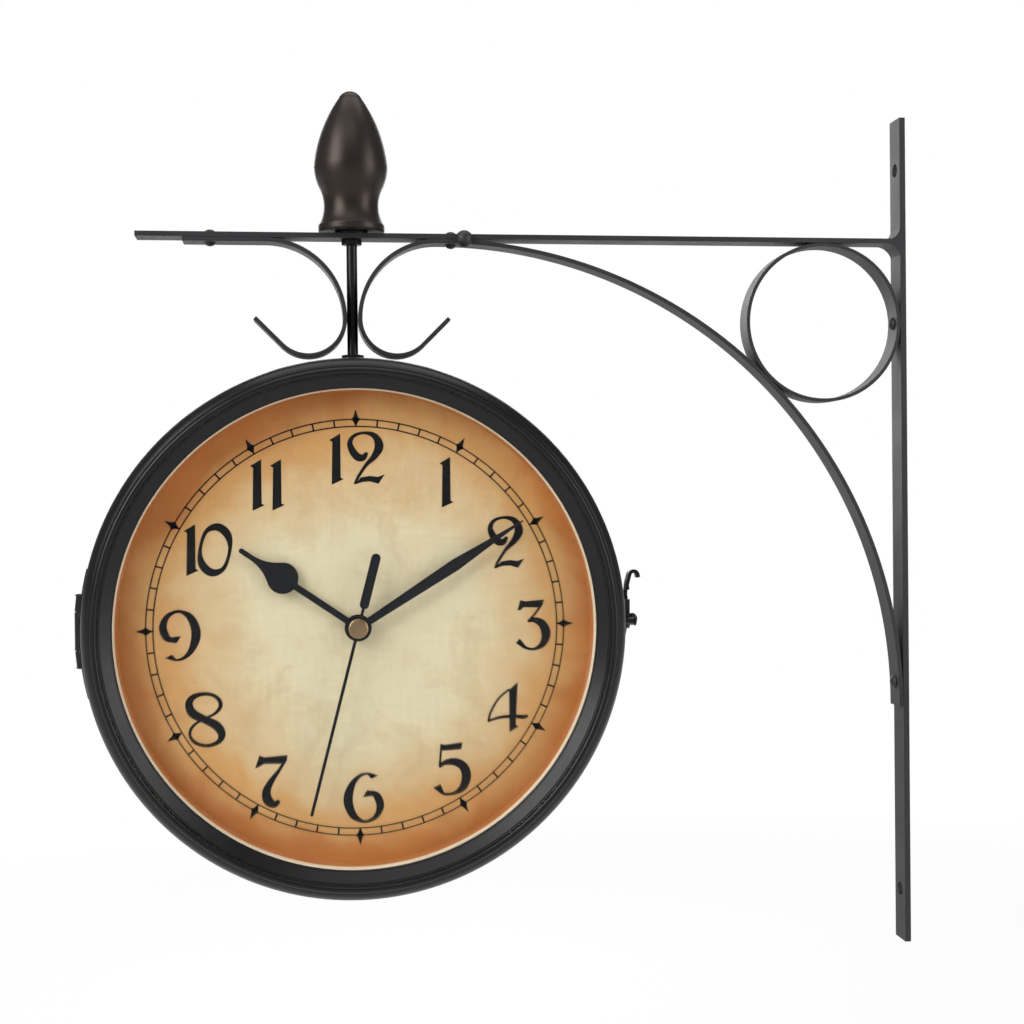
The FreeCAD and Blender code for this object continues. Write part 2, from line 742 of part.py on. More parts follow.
def hinge_leaf(sense, knuckles):
    """A butterfly leaf; sense is -1 on the drum and 1 on the bezel."""
    neck = barrel_length / 2.0

    def place(reach, height):
        return (seam + sense * reach, height)

    waist = place(leaf_neck + 1.0, neck)
    wing = place(leaf_reach, leaf_wing)
    flare = place(leaf_neck + 3.4, neck + 2.6)
    low_waist = place(leaf_neck + 1.0, -neck)
    low_wing = place(leaf_reach, -leaf_wing)
    low_flare = place(leaf_neck + 3.4, -neck - 2.6)
    steps = [waist, (flare, wing), (place(leaf_reach + 0.9, 0.0), low_wing),
             (low_flare, low_waist), place(leaf_neck, -neck)]
    leaf = flat_piece(leaf_side, place(leaf_neck, neck), steps, spot(-leaf_thick, 0, 0))
    leaf.translate(spot(-rim_radius, 0, 0))
    axis = spot(-hinge_reach, 0, seam)
    for low, high in knuckles:
        barrel = rod(knuckle_radius, axis + spot(0, low, 0), spot(0, high - low, 0))
        width = leaf_neck + 0.5
        start = seam if sense > 0 else seam - width
        tab = Part.makeBox(leaf_thick, high - low, width, spot(-rim_radius - leaf_thick, low, start))
        leaf = leaf.fuse(barrel).fuse(tab)
    leaf = leaf.cut(rod(pin_radius + fit, axis - spot(0, leaf_wing, 0), spot(0, 2 * leaf_wing, 0)))
    for level, spread in leaf_rivet_spots(seam + sense * leaf_rivet_reach):
        leaf = leaf.cut(side_hole(-1, level, spread, leaf_rivet_radius + fit))
    return leaf.removeSplitter()


def leaf_rivets(level):
    outer = -rim_radius - leaf_thick
    grip = rim_radius + leaf_thick - skirt_inner
    return group([on_case(rivet(spot(outer, spread, place), spot(-1, 0, 0), leaf_rivet_radius, grip,
                                leaf_rivet_head, leaf_rivet_rise))
                  for place, spread in leaf_rivet_spots(level)])


def make_hinge():
    end = barrel_length / 2.0
    inner = end - outer_knuckle
    gap = knuckle_gap
    store("hinge_leaf_case", on_case(hinge_leaf(-1, [(-end, -inner), (inner, end)])))
    store("hinge_leaf_door", on_case(hinge_leaf(1, [(-inner + gap, inner - gap)])))
    pin = rod(pin_radius, spot(0, 0, -end), spot(0, 0, barrel_length))
    cap = dome(pin_head_radius, pin_head_height, end)
    lower = cap.copy()
    lower.rotate(spot(0, 0, 0), spot(1, 0, 0), 180)
    pin = aimed(pin.fuse([cap, lower]).removeSplitter(), spot(-hinge_reach, 0, seam), spot(0, 1, 0))
    store("hinge_pin", on_case(pin))
    store("hinge_rivets_case", leaf_rivets(seam - leaf_rivet_reach))
    store("hinge_rivets_door", leaf_rivets(seam + leaf_rivet_reach))


# ---- latch ----------------------------------------------------------------------------------------
def make_latch():
    top = latch_half_length
    base = flat_piece(leaf_side, (pivot_level, top),
                      [((pivot_level + latch_half_width, 0.0), (pivot_level, -top)),
                       ((pivot_level - latch_half_width, 0.0), (pivot_level, top))],
                      spot(latch_crown + 1, 0, 0))
    base.translate(spot(rim_radius, 0, 0))
    rise = latch_crown - latch_edge
    crown_radius = (top ** 2 + rise ** 2) / (2 * rise)
    crown = rod(crown_radius, spot(rim_radius + latch_crown - crown_radius, 0, 0), spot(0, 0, 2 * seam))
    base = base.common(crown).cut(side_hole(1, pivot_level, 0.0, pivot_radius + fit))
    store("latch_plate", on_case(base))

    post = rod(pivot_radius, spot(skirt_inner, 0, pivot_level), spot(knob_base - skirt_inner, 0, 0))
    neck = knob_radius * 0.8
    belt = knob_height * 0.7
    knob = turned((0.0, 0.0), [(neck, 0.0), ((knob_radius, belt / 2.0), (neck, belt)),
                               cap_arc(neck, belt, knob_height - belt)])
    knob = aimed(knob, spot(knob_base, 0, pivot_level), spot(1, 0, 0))
    store("latch_pivot", on_case(post.fuse(knob).removeSplitter()))

    foot = rim_radius + keeper_thick
    head = lever_top + lever_gap
    ends = keeper_half_length
    plate = flat_piece(leaf_side, (stud_level - 1.0, ends),
                       [(stud_level + 1.0, ends), ((stud_level + keeper_half_width, 0.0),
                                                   (stud_level + 1.0, -ends)),
                        (stud_level - 1.0, -ends), ((stud_level - keeper_half_width + 0.4, 0.0),
                                                    (stud_level - 1.0, ends))],
                       spot(keeper_thick, 0, 0))
    plate.translate(spot(rim_radius, 0, 0))
    shank = rod(stud_radius, spot(skirt_inner, 0, stud_level), spot(foot - skirt_inner, 0, 0))
    stud = turned((0.0, 0.0), [(keeper_foot_radius, 0.0), (stud_radius, keeper_foot_height),
                               (stud_radius, head - foot), (stud_head_radius, head - foot),
                               (stud_head_radius, head - foot + stud_head_height * 0.6),
                               (stud_head_radius * 0.5, head - foot + stud_head_height),
                               (0.0, head - foot + stud_head_height)])
    stud = aimed(stud, spot(foot, 0, stud_level), spot(1, 0, 0))
    store("latch_keeper", on_case(plate.fuse([shank, stud]).removeSplitter()))
    store("latch_lever", on_case(latch_lever()))


def latch_lever():
    """Flat hook over the pivot, thrown up at rest, and a horn that ends in a curl."""
    level = pivot_level
    hub = rod(lever_hub, spot(lever_base, 0, level), spot(lever_thick, 0, 0))
    blade = flat_piece(leaf_side, (level - lever_half * 0.8, 0.0),
                       [(level - lever_half, hook_radius), (level - horn_half, lever_flat + 0.6),
                        (level + horn_half, lever_flat + 0.6), (level + lever_half, hook_radius),
                        (level + lever_half * 0.8, 0.0)], spot(lever_thick, 0, 0))
    blade.translate(spot(lever_base, 0, 0))
    notch = rod(notch_radius, spot(lever_base - 1, hook_radius, level), spot(lever_thick + 2, 0, 0))
    mouth = Part.makeBox(lever_thick + 2, 2 * notch_radius, lever_half + 2,
                         spot(lever_base - 1, hook_radius - notch_radius, level))

    def horn_plane(a, b):
        return spot(a, b, level - horn_half)

    start = (lever_base + lever_thick / 2.0, lever_flat - 0.4)
    steps = [("straight", 1.0), ("bend", horn_bend, -horn_lean), ("straight", horn_length),
             ("bend", curl_bend, -curl_turn), ("straight", curl_tail)]
    horn = bent_bar(horn_plane, start, 90.0, steps, horn_thick, spot(0, 0, 2 * horn_half))
    lever = hub.fuse([blade, horn]).cut(notch.fuse(mouth))
    return lever.cut(side_hole(1, level, 0.0, pivot_radius + fit)).removeSplitter()


# ---- movement and hands -----------------------------------------------------------------------------
def blade_upwards(right_side, level):
    """A symmetrical hand along +up: right_side runs from the foot to the tip."""
    start, steps, tip_half = right_side
    mirrored = []
    trail = [start]
    for step in steps:
        trail.append(step[1] if isinstance(step[0], tuple) else step)
    for number in range(len(steps) - 1, -1, -1):
        step = steps[number]
        goal = (-trail[number][0], trail[number][1])
        if isinstance(step[0], tuple):
            mirrored.append(((-step[0][0], step[0][1]), goal))
        else:
            mirrored.append(goal)
    tip = trail[-1]
    cap = ((0.0, tip[1] + tip_half), (-tip[0], tip[1]))

    def plane(a, b):
        return spot(a, b, level)

    return flat_piece(plane, start, list(steps) + [cap] + mirrored, spot(0, 0, hand_thick))


def clockwise(shape, degrees):
    turned_shape = shape.copy()
    turned_shape.rotate(spot(0, 0, 0), spot(0, 0, 1), -degrees)
    return turned_shape


def make_hands(side):
    shoulder = hour_bulb_place + hour_bulb * hour_shoulder
    flare = math.sqrt(hour_bulb ** 2 - (shoulder - hour_bulb_place) ** 2)
    neck = hour_bulb_place - math.sqrt(hour_bulb ** 2 - hour_stalk ** 2)
    hour_side = ((hour_stalk, 0.0), [
        (hour_stalk, neck), ((hour_bulb, hour_bulb_place), (flare, shoulder)),
        ((flare * hour_flare_share, shoulder + hour_waist), (hour_point, shoulder + hour_flare)),
        (hour_point, hour_length - hour_point)], hour_point)
    hour = blade_upwards(hour_side, hour_level)
    hour = hour.fuse(rod(hour_hub, spot(0, 0, hour_level), spot(0, 0, hand_thick)))
    hour = hour.cut(rod(hour_tube_radius, spot(0, 0, 0), spot(0, 0, crest)))
    hour_tube = tube(hour_tube_radius, minute_arbor_radius + fit, hour_tube_end,
                     hour_level + hand_thick + tube_stand)

    minute_side = ((minute_stalk, 0.0), [
        (minute_belly, minute_belly_place), (minute_point, minute_length - minute_point)],
        minute_point)
    minute = blade_upwards(minute_side, minute_level)
    minute = minute.fuse(rod(minute_hub, spot(0, 0, minute_level), spot(0, 0, hand_thick)))
    minute = minute.cut(rod(minute_arbor_radius, spot(0, 0, 0), spot(0, 0, crest)))
    minute_arbor = tube(minute_arbor_radius, second_pin_radius + fit, minute_arbor_end,
                        minute_level + hand_thick + tube_stand)

    second_side = ((second_half, 0.0), [(second_half, second_length - second_half)], second_half)
    second = blade_upwards(second_side, second_level)
    tail_side = ((second_half * tail_neck, 0.0), [
        (second_half * tail_neck, tail_link),
        ((tail_half * tail_swell, tail_link + tail_bend[0]), (tail_half, tail_link + tail_bend[1])),
        (tail_half, tail_length - tail_half)], tail_half)
    tail = clockwise(blade_upwards(tail_side, second_level), 180.0)
    second = second.fuse([tail, rod(second_hub, spot(0, 0, second_level), spot(0, 0, hand_thick))])
    pin = rod(second_pin_radius, spot(0, 0, second_pin_end), spot(0, 0, second_level - second_pin_end))
    second = second.fuse(pin).removeSplitter()
    cap_foot = second_level + hand_thick
    cap = turned((0.0, cap_foot), [(cap_radius, cap_foot), (cap_radius, cap_foot + cap_height * 0.55),
                                   (cap_radius - 0.5, cap_foot + cap_height),
                                   (0.0, cap_foot + cap_height)])
    for name, shape, angle in (("hour_hand", hour.removeSplitter(), hour_rest),
                               ("hour_tube", hour_tube, hour_rest),
                               ("minute_hand", minute.removeSplitter(), minute_rest),
                               ("minute_arbor", minute_arbor, minute_rest),
                               ("second_hand", second, second_rest),
                               ("centre_cap", cap, second_rest)):
        store(side + "_" + name, on_case(clockwise(shape, angle), side))


def rounded_block():
    side = movement_side / 2.0
    block = Part.makeBox(movement_side, movement_side, movement_depth, spot(-side, -side, movement_back))
    upright = [edge for edge in block.Edges
               if abs(edge.Vertexes[0].Z - edge.Vertexes[1].Z) > movement_depth / 2.0]
    return block.makeFillet(movement_corner, upright)


def make_movement(side):
    """Quartz movement behind the carrier: housing, nut, setting knob, battery and contacts."""
    housing = rounded_block()
    bush = rod(bush_radius, spot(0, 0, carrier_back - 1), spot(0, 0, bush_end - carrier_back + 1))
    housing = housing.fuse(bush)
    for radius, end in ((hour_tube_radius, hour_tube_end), (minute_arbor_radius, minute_arbor_end),
                        (second_pin_radius, second_pin_end)):
        floor = end - bore_end_gap
        housing = housing.cut(rod(radius + fit, spot(0, 0, floor), spot(0, 0, bush_end - floor + 1)))
    axis = spot(-bay_length / 2.0, bay_v, bay_level)
    bay = rod(bay_radius, axis, spot(bay_length, 0, 0))
    mouth = Part.makeBox(bay_length, 2 * bay_radius, bay_level - movement_back + 1,
                         spot(-bay_length / 2.0, bay_v - bay_radius, movement_back - 1))
    housing = housing.cut(bay.fuse(mouth))
    seat = movement_back + setting_shaft_seat
    housing = housing.cut(rod(setting_shaft_radius + fit, spot(0, knob_place, movement_back - 1),
                              spot(0, 0, setting_shaft_seat + 1 + bore_end_gap)))
    store(side + "_movement", on_case(housing.removeSplitter(), side))

    nut = tube(bush_nut_radius, bush_radius + fit, dial_face, dial_face + bush_nut_height)
    for turn in (0, 90):
        slot = Part.makeBox(2 * bush_nut_radius + 2, 0.9, 0.6,
                            spot(-bush_nut_radius - 1, -0.45, dial_face + bush_nut_height - 0.5))
        slot.rotate(spot(0, 0, 0), spot(0, 0, 1), turn)
        nut = nut.cut(slot)
    store(side + "_bush_nut", on_case(nut, side))

    cell = rod(battery_radius, spot(-battery_length / 2.0, bay_v, bay_level), spot(battery_length, 0, 0))
    nipple = rod(nipple_radius, spot(battery_length / 2.0 - 1, bay_v, bay_level),
                 spot(nipple_height + 1, 0, 0))
    store(side + "_battery", on_case(cell.fuse(nipple).removeSplitter(), side))

    wide = bay_radius * 1.3
    high = bay_level + bay_radius * 0.6 - movement_back
    plates = []
    for sense in (-1, 1):
        outer = sense * (bay_length / 2.0 - contact_thick / 2.0)
        plates.append(Part.makeBox(contact_thick, wide, high,
                                   spot(outer - contact_thick / 2.0, bay_v - wide / 2.0, movement_back)))
    spring_room = bay_length / 2.0 - contact_thick - battery_length / 2.0
    spring = turned((1.0, 0.0), [(4.2, 0.0), (2.6, spring_room - 0.05), (1.0, spring_room - 0.05)])
    spring = aimed(spring, spot(-bay_length / 2.0 + contact_thick, bay_v, bay_level), spot(1, 0, 0))
    store(side + "_battery_contacts", on_case(group([plates[0].fuse(spring).removeSplitter(),
                                                     plates[1]]), side))

    low = movement_back - setting_knob_height - bore_end_gap
    knob = turned((0.0, low), [(setting_knob_radius - 0.5, low), (setting_knob_radius, low + 0.5),
                               (setting_knob_radius, low + setting_knob_height),
                               (0.0, low + setting_knob_height)])
    for number in range(knurl_count):
        angle = 2 * math.pi * number / knurl_count
        reach = setting_knob_radius + knurl_radius * 0.5
        flute = rod(knurl_radius, spot(reach * math.cos(angle), reach * math.sin(angle), low - 1),
                    spot(0, 0, setting_knob_height + 2))
        knob = knob.cut(flute)
    shaft = rod(setting_shaft_radius, spot(0, 0, low + 1), spot(0, 0, seat - low - 1))
    knob = knob.fuse(shaft).removeSplitter()
    knob.translate(spot(0, knob_place, 0))
    store(side + "_setting_knob", on_case(knob, side))


# ---- the whole clock ----------------------------------------------------------------------------------
def main():
    make_wall_strip()
    make_arm()
    make_brace()
    make_left_scroll()
    make_ring()
    make_bracket_rivets()
    make_welds()
    make_finial()
    make_stem()
    make_drum()
    make_bezels()
    make_joining_ring()
    make_hinge()
    make_latch()
    for side in ("front", "rear"):
        make_dial_stack(side)
        make_movement(side)
        make_hands(side)
    os.makedirs("parts", exist_ok=True)
    for name, shape in nodes.items():
        shape.exportStep(os.path.join("parts", name + ".step"))
    print(len(nodes), "nodes written")


main()
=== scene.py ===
"""Visual model of a double sided station clock on a scrolled wall bracket."""
import json
import math

import bmesh
import bpy
from bpy.props import FloatProperty, FloatVectorProperty, IntProperty, PointerProperty
from mathutils import Matrix, Vector


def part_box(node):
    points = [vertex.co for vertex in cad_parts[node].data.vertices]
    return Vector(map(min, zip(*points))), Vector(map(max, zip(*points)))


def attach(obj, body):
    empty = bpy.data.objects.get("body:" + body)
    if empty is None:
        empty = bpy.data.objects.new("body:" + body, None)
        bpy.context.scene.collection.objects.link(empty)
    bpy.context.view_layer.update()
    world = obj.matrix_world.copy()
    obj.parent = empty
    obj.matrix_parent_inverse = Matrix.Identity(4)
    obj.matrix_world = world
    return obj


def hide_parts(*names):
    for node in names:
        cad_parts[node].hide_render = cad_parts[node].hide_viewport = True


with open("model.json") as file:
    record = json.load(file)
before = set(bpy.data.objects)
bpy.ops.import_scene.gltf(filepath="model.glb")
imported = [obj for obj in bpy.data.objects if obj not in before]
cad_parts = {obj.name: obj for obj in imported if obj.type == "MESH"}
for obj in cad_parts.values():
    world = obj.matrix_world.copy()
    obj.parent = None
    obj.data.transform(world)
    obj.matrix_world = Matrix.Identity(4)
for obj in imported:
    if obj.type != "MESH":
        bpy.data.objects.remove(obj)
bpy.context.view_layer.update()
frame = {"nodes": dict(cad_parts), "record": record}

bl_info = {
    "name": "Station Clock",
    "version": (1, 0, 0),
    "blender": (4, 5, 0),
    "location": "3D View > Sidebar > Clock",
    "description": "Builds the looks of a double sided station clock over its CAD frame",
    "category": "Object",
}

MM = 0.001
SIDES = {"front": "door", "rear": "mounted"}    # each side and the body its dial rides on

# Sizes shared by several pieces, in millimetres unless a word says otherwise.
WALL = 1.2              # sheet of the case, and flange of the ring
BEZEL_LAND = 10.5       # rim of a bezel to its lip round the glass
RING_FOOT = 81.4        # inside of the cream ring at the dial
RING_LIP = 82.0         # inside of the cream ring at the glass
RING_WALL = 1.3
RING_FLANGE = 90.6      # outside of the cream ring
GROOVES = (-8.0, 8.0)   # levels of the drum's grooves
CURL_TURN = 135.0       # degrees
CURL_END = 13.5         # straight end of a curl
CELL_HALF = 24.6        # half of a battery's length
DRAWN_CIRCLE = 59.4     # numeral circle that the places in HOURS were drawn for
NEAR = 1e-5             # points closer than this are one
NEAR_METRES = 2e-6      # the same for the solids, in metres
FLAT_TURN = 0.6         # degrees between faces that count as flat


# ---- settings ----
def millimetres(name, about, value):
    return FloatProperty(name=name, description=about, default=value, unit="NONE")


def swatch(name, about, value):
    return FloatVectorProperty(name=name, description=about, default=value, subtype="COLOR",
                               size=3)


class BracketSettings(bpy.types.PropertyGroup):
    """Sizes of the bent bars, in millimetres."""
    bar_width: millimetres("Bar width", "Width of every flat bar", 10.0)
    band_thick: millimetres("Band thickness", "Thickness of the bent bars", 1.5)
    ring_thick: millimetres("Ring thickness", "Thickness of the round ornament", 1.3)
    edge: millimetres("Edge rounding", "Rounding along the bars' edges", 0.28)
    scroll_radius: millimetres("Scroll radius", "Large bend of a scroll", 28.2)
    curl_radius: millimetres("Curl radius", "Small bend at a scroll's end", 13.2)
    brace_radius: millimetres("Brace radius", "Quarter circle of the brace", 172.1)


class DialSettings(bpy.types.PropertyGroup):
    """Sizes of what is printed on the dials, in millimetres."""
    track_inner: millimetres("Track inside", "Inner line of the minute track", 69.45)
    track_outer: millimetres("Track outside", "Outer line of the minute track", 71.9)
    line: millimetres("Line width", "Width of the track's two lines", 0.46)
    tick: millimetres("Tick width", "Width of a minute mark", 0.58)
    minutes: IntProperty(name="Minutes", description="Marks round the minute track", default=60)
    hours: IntProperty(name="Hours", description="Star marks round the minute track", default=12)
    numeral_radius: millimetres("Numeral circle", "Centres of the hour numbers", 59.4)
    numeral_height: millimetres("Numeral height", "Height of the hour numbers", 17.3)
    pen_heavy: FloatProperty(name="Pen weight", description="Weight of the numbers' strokes",
                             default=1.22)
    pen_least: FloatProperty(name="Hairline", description="Added to every stroke, in hundredths",
                             default=0.8)
    print_thick: millimetres("Print", "Height of the printed ink", 0.05)


class FinishSettings(bpy.types.PropertyGroup):
    """Colours of the finishes."""
    case_black: swatch("Case paint", "Satin paint of the case", (0.0050, 0.0050, 0.0058))
    bar_black: swatch("Bracket coat", "Powder coat of the bars", (0.0115, 0.0113, 0.0135))
    finial_brown: swatch("Finial bronze", "Bronze of the finial", (0.0085, 0.0062, 0.0055))
    dial_cream: swatch("Dial centre", "Cream of the dial's middle", (0.66, 0.585, 0.375))
    dial_tan: swatch("Dial tan", "Tan between middle and edge", (0.56, 0.305, 0.10))
    dial_rust: swatch("Dial edge", "Orange brown at the dial's edge", (0.41, 0.138, 0.022))
    ink: swatch("Ink", "Ink of numbers and track", (0.006, 0.006, 0.007))


class StageSettings(bpy.types.PropertyGroup):
    """Camera and floor."""
    camera_place: FloatVectorProperty(name="Camera", description="Camera place in the row frame",
                                      subtype="XYZ", unit="LENGTH", size=3,
                                      default=(-0.22223, -0.578, 0.0143))
    camera_turn: FloatVectorProperty(name="Camera turn", size=3, default=(7.18, -0.56, -0.58),
                                     description="Heading, rise and roll, in degrees")
    lens: FloatProperty(name="Lens", description="Focal length on a 36 mm sensor", default=55.74)
    floor_level: FloatProperty(name="Floor", description="Height of the floor", unit="LENGTH",
                               default=-0.36)


class ClockSettings(bpy.types.PropertyGroup):
    """All settings of the clock."""
    bracket: PointerProperty(type=BracketSettings)
    dial: PointerProperty(type=DialSettings)
    finish: PointerProperty(type=FinishSettings)
    stage: PointerProperty(type=StageSettings)


def settings():
    return bpy.context.scene.station_clock


# ---- places taken from the frame ----
def case_centre():
    low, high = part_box("case_drum")
    return ((low[0] + high[0]) / 2, (low[2] + high[2]) / 2)


def half_width(node):
    """Half of a node's width, in millimetres."""
    low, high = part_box(node)
    return (high[0] - low[0]) / MM / 2


def body_of_node(node):
    for body, names in frame["record"]["behaviour"]["bodies"].items():
        if node in names:
            return body
    raise RuntimeError("no body holds " + node)


def face_matrix(side):
    """From the dial's own frame (right, up, outwards) in millimetres to the row frame."""
    x, z = case_centre()
    turn = Matrix.Rotation(math.pi / 2, 4, "X")
    if side == "rear":
        turn = Matrix.Rotation(math.pi, 4, "Z") @ turn
    return Matrix.Translation((x, 0, z)) @ turn @ Matrix.Scale(MM, 4)


# ---- meshes ----
def linked(name, data):
    made = bpy.data.objects.new(name, data)
    bpy.context.scene.collection.objects.link(made)
    return made


def new_piece(name, mesh, material=None):
    piece = linked(name, mesh)
    if material:
        mesh.materials.clear()
        mesh.materials.append(material)
    return piece


def mesh_from(name, points, faces=(), edges=()):
    mesh = bpy.data.meshes.new(name)
    mesh.from_pydata([tuple(point) for point in points], list(edges), list(faces))
    mesh.update()
    return mesh


def evaluated(piece):
    """The piece's own modifiers worked into a plain mesh."""
    graph = bpy.context.evaluated_depsgraph_get()
    mesh = bpy.data.meshes.new_from_object(piece.evaluated_get(graph), depsgraph=graph)
    piece.modifiers.clear()
    old = piece.data
    piece.data = mesh
    bpy.data.meshes.remove(old)
    return piece


def smooth(piece, degrees=32.0):
    """Smooth shading with sharp edges kept and wide flat faces left flat."""
    piece.data.shade_smooth()
    piece.data.set_sharp_from_angle(angle=math.radians(degrees))
    weighed = piece.modifiers.new("normals", "WEIGHTED_NORMAL")
    weighed.keep_sharp = True
    evaluated(piece)


def place(piece, matrix):
    piece.data.transform(matrix)
    if matrix.determinant() < 0:
        piece.data.flip_normals()
    piece.data.update()


def hand_over(piece, body, slot, *nodes):
    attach(piece, body)
    if nodes:
        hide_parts(*nodes)


def node_slot(node):
    for part in frame["record"]["subparts"]:
        if part["node"] == node:
            return part["material_slot"]
    raise RuntimeError("no material slot for " + node)


def chained(count, closed):
    """Edges from each point to the next, and back to the first where the run is closed."""
    edges = [(number, number + 1) for number in range(count - 1)]
    return edges + [(count - 1, 0)] if closed else edges


def closed_up(mesh):
    """Joins points that lie on each other and turns all faces outwards."""
    work = bmesh.new()
    work.from_mesh(mesh)
    bmesh.ops.remove_doubles(work, verts=work.verts, dist=NEAR)
    bmesh.ops.recalc_face_normals(work, faces=work.faces)
    work.to_mesh(mesh)
    work.free()


def wrapped(mesh):
    """Bends a leaf's ears round the case: each point keeps its distance from the wall."""
    low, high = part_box("case_drum")
    x, z = case_centre()
    rim = (high[0] - low[0]) / 2
    for point in mesh.vertices:
        rise = point.co.z - z
        point.co.x += math.copysign(rim - math.sqrt(rim ** 2 - rise ** 2), x - point.co.x)
    mesh.update()


def softened(node, width, material, angle=30.0, shaped=None):
    """A copy of a CAD node with its hard edges rounded and its curved faces smooth."""
    source = frame["nodes"][node]
    mesh = source.data.copy()
    mesh.name = node + "_soft"
    mesh.transform(source.matrix_world)
    work = bmesh.new()
    work.from_mesh(mesh)
    bmesh.ops.remove_doubles(work, verts=work.verts, dist=NEAR_METRES)
    bmesh.ops.dissolve_limit(work, angle_limit=math.radians(FLAT_TURN), verts=work.verts,
                             edges=work.edges)
    work.to_mesh(mesh)
    work.free()
    piece = new_piece(node + "_soft", mesh, material)
    bevel = piece.modifiers.new("edges", "BEVEL")
    bevel.width = width * MM
    bevel.segments = 2
    bevel.limit_method = "ANGLE"
    bevel.angle_limit = math.radians(angle)
    bevel.use_clamp_overlap = True
    evaluated(piece)
    if shaped:
        shaped(piece.data)
    smooth(piece, 40.0)
    hand_over(piece, body_of_node(node), node_slot(node), node)


# ---- nodes ----
def fill(tree, node, inputs):
    """Sets a node's inputs; each is a value, an output or a node, for its first output."""
    for socket, value in inputs.items():
        if isinstance(value, bpy.types.Node):
            value = value.outputs[0]
        if isinstance(value, bpy.types.NodeSocket):
            tree.links.new(value, node.inputs[socket])
        else:
            node.inputs[socket].default_value = value


def add_node(tree, kind, inputs=None, **values):
    """A new node with its own values and its inputs."""
    made = tree.nodes.new(kind)
    for key, value in values.items():
        setattr(made, key, value)
    fill(tree, made, inputs or {})
    return made


class Tree:
    """A geometry node tree; its named inputs come as name=(kind, default)."""

    def __init__(self, name, **sockets):
        self.group = bpy.data.node_groups.new(name, "GeometryNodeTree")
        for side in ("INPUT", "OUTPUT"):
            self.socket("Geometry", "Geometry", side)
        for socket, (kind, default) in sockets.items():
            self.socket(socket, kind).default_value = default
        self.socket("Material", "Material")
        self.given = self.node("NodeGroupInput").outputs

    def socket(self, name, kind, side="INPUT"):
        return self.group.interface.new_socket(name, in_out=side, socket_type="NodeSocket" + kind)

    def node(self, kind, inputs=None, **values):
        return add_node(self.group, kind, inputs, **values)

    def finish(self, geometry):
        """Makes instances real, gives them the material and hands out the tree."""
        real = self.node("GeometryNodeRealizeInstances", {"Geometry": geometry})
        paint = self.node("GeometryNodeSetMaterial",
                          {"Geometry": real, "Material": self.given["Material"]})
        self.node("NodeGroupOutput", {"Geometry": paint})
        return self.group


def grown(piece, tree, **values):
    """Gives the piece the tree, sets its inputs by identifier and works it into a mesh."""
    modifier = piece.modifiers.new(tree.name, "NODES")
    modifier.node_group = tree
    for item in tree.interface.items_tree:
        if item.item_type == "SOCKET" and item.in_out == "INPUT" and item.name in values:
            modifier[item.identifier] = values[item.name]
    return evaluated(piece)


def bar_tree():
    """A rounded flat bar along a path that lies in the XY plane."""
    tree = Tree("bent bar", Width=("Float", 10.0), Thickness=("Float", 1.5), Edge=("Float", 0.3))
    path = tree.node("GeometryNodeMeshToCurve", {"Mesh": tree.given["Geometry"]})
    level = tree.node("GeometryNodeSetCurveNormal", {"Curve": path}, mode="Z_UP")
    section = tree.node("GeometryNodeCurvePrimitiveQuadrilateral",
                        {"Width": tree.given["Thickness"], "Height": tree.given["Width"]})
    rounded = tree.node("GeometryNodeFilletCurve", {
        "Curve": section, "Count": 3, "Radius": tree.given["Edge"]}, mode="POLY")
    return tree.finish(tree.node("GeometryNodeCurveToMesh", {
        "Curve": level, "Profile Curve": rounded, "Fill Caps": True}))


def turning_tree():
    """A half section (x outwards, y along the axis) turned about the Z axis.

    The sweep puts the section's zero on a circle of radius 1 and its y downwards, so the
    section is first moved in by 1 and mirrored.
    """
    tree = Tree("turned piece", Steps=("Int", 192))
    moved = tree.node("GeometryNodeTransform", {
        "Geometry": tree.given["Geometry"], "Translation": (-1.0, 0.0, 0.0),
        "Scale": (1.0, -1.0, 1.0)})
    section = tree.node("GeometryNodeMeshToCurve", {"Mesh": moved})
    circle = tree.node("GeometryNodeCurvePrimitiveCircle",
                       {"Radius": 1.0, "Resolution": tree.given["Steps"]})
    return tree.finish(tree.node("GeometryNodeCurveToMesh",
                                 {"Curve": circle, "Profile Curve": section}))


def round_tree():
    """Repeats the piece's own mesh in equal turns about the Z axis."""
    tree = Tree("marks in a circle", Count=("Int", 12))
    line = tree.node("GeometryNodeMeshLine",
                     {"Offset": (0.0, 0.0, 0.0), "Count": tree.given["Count"]})
    turn = tree.node("ShaderNodeMath", {0: 2 * math.pi, 1: tree.given["Count"]},
                     operation="DIVIDE")
    angle = tree.node("ShaderNodeMath", {0: tree.node("GeometryNodeInputIndex"), 1: turn},
                      operation="MULTIPLY")
    spin = tree.node("ShaderNodeCombineXYZ", {"Z": angle})
    return tree.finish(tree.node("GeometryNodeInstanceOnPoints", {
        "Points": line, "Instance": tree.given["Geometry"], "Rotation": spin}))


def tree_named(name, maker):
    return bpy.data.node_groups.get(name) or maker()


# ---- outlines ----
def bent_path(start, heading, steps, pitch=2.0):
    """Points along straight runs and bends: ('straight', length) or ('bend', radius, turn)."""
    x, y = start
    angle = math.radians(heading)
    points = [(x, y, 0.0)]
    for step in steps:
        if step[0] == "straight":
            x += math.cos(angle) * step[1]
            y += math.sin(angle) * step[1]
            points.append((x, y, 0.0))
            continue
        radius = step[1]
        turn = math.radians(step[2])
        sense = math.copysign(1.0, turn)
        centre = (x - math.sin(angle) * radius * sense, y + math.cos(angle) * radius * sense)
        count = max(4, round(abs(step[2]) / pitch))
        for number in range(1, count + 1):
            swung = angle + turn * number / count
            x = centre[0] + math.sin(swung) * radius * sense
            y = centre[1] - math.cos(swung) * radius * sense
            points.append((x, y, 0.0))
        angle += turn
    return points


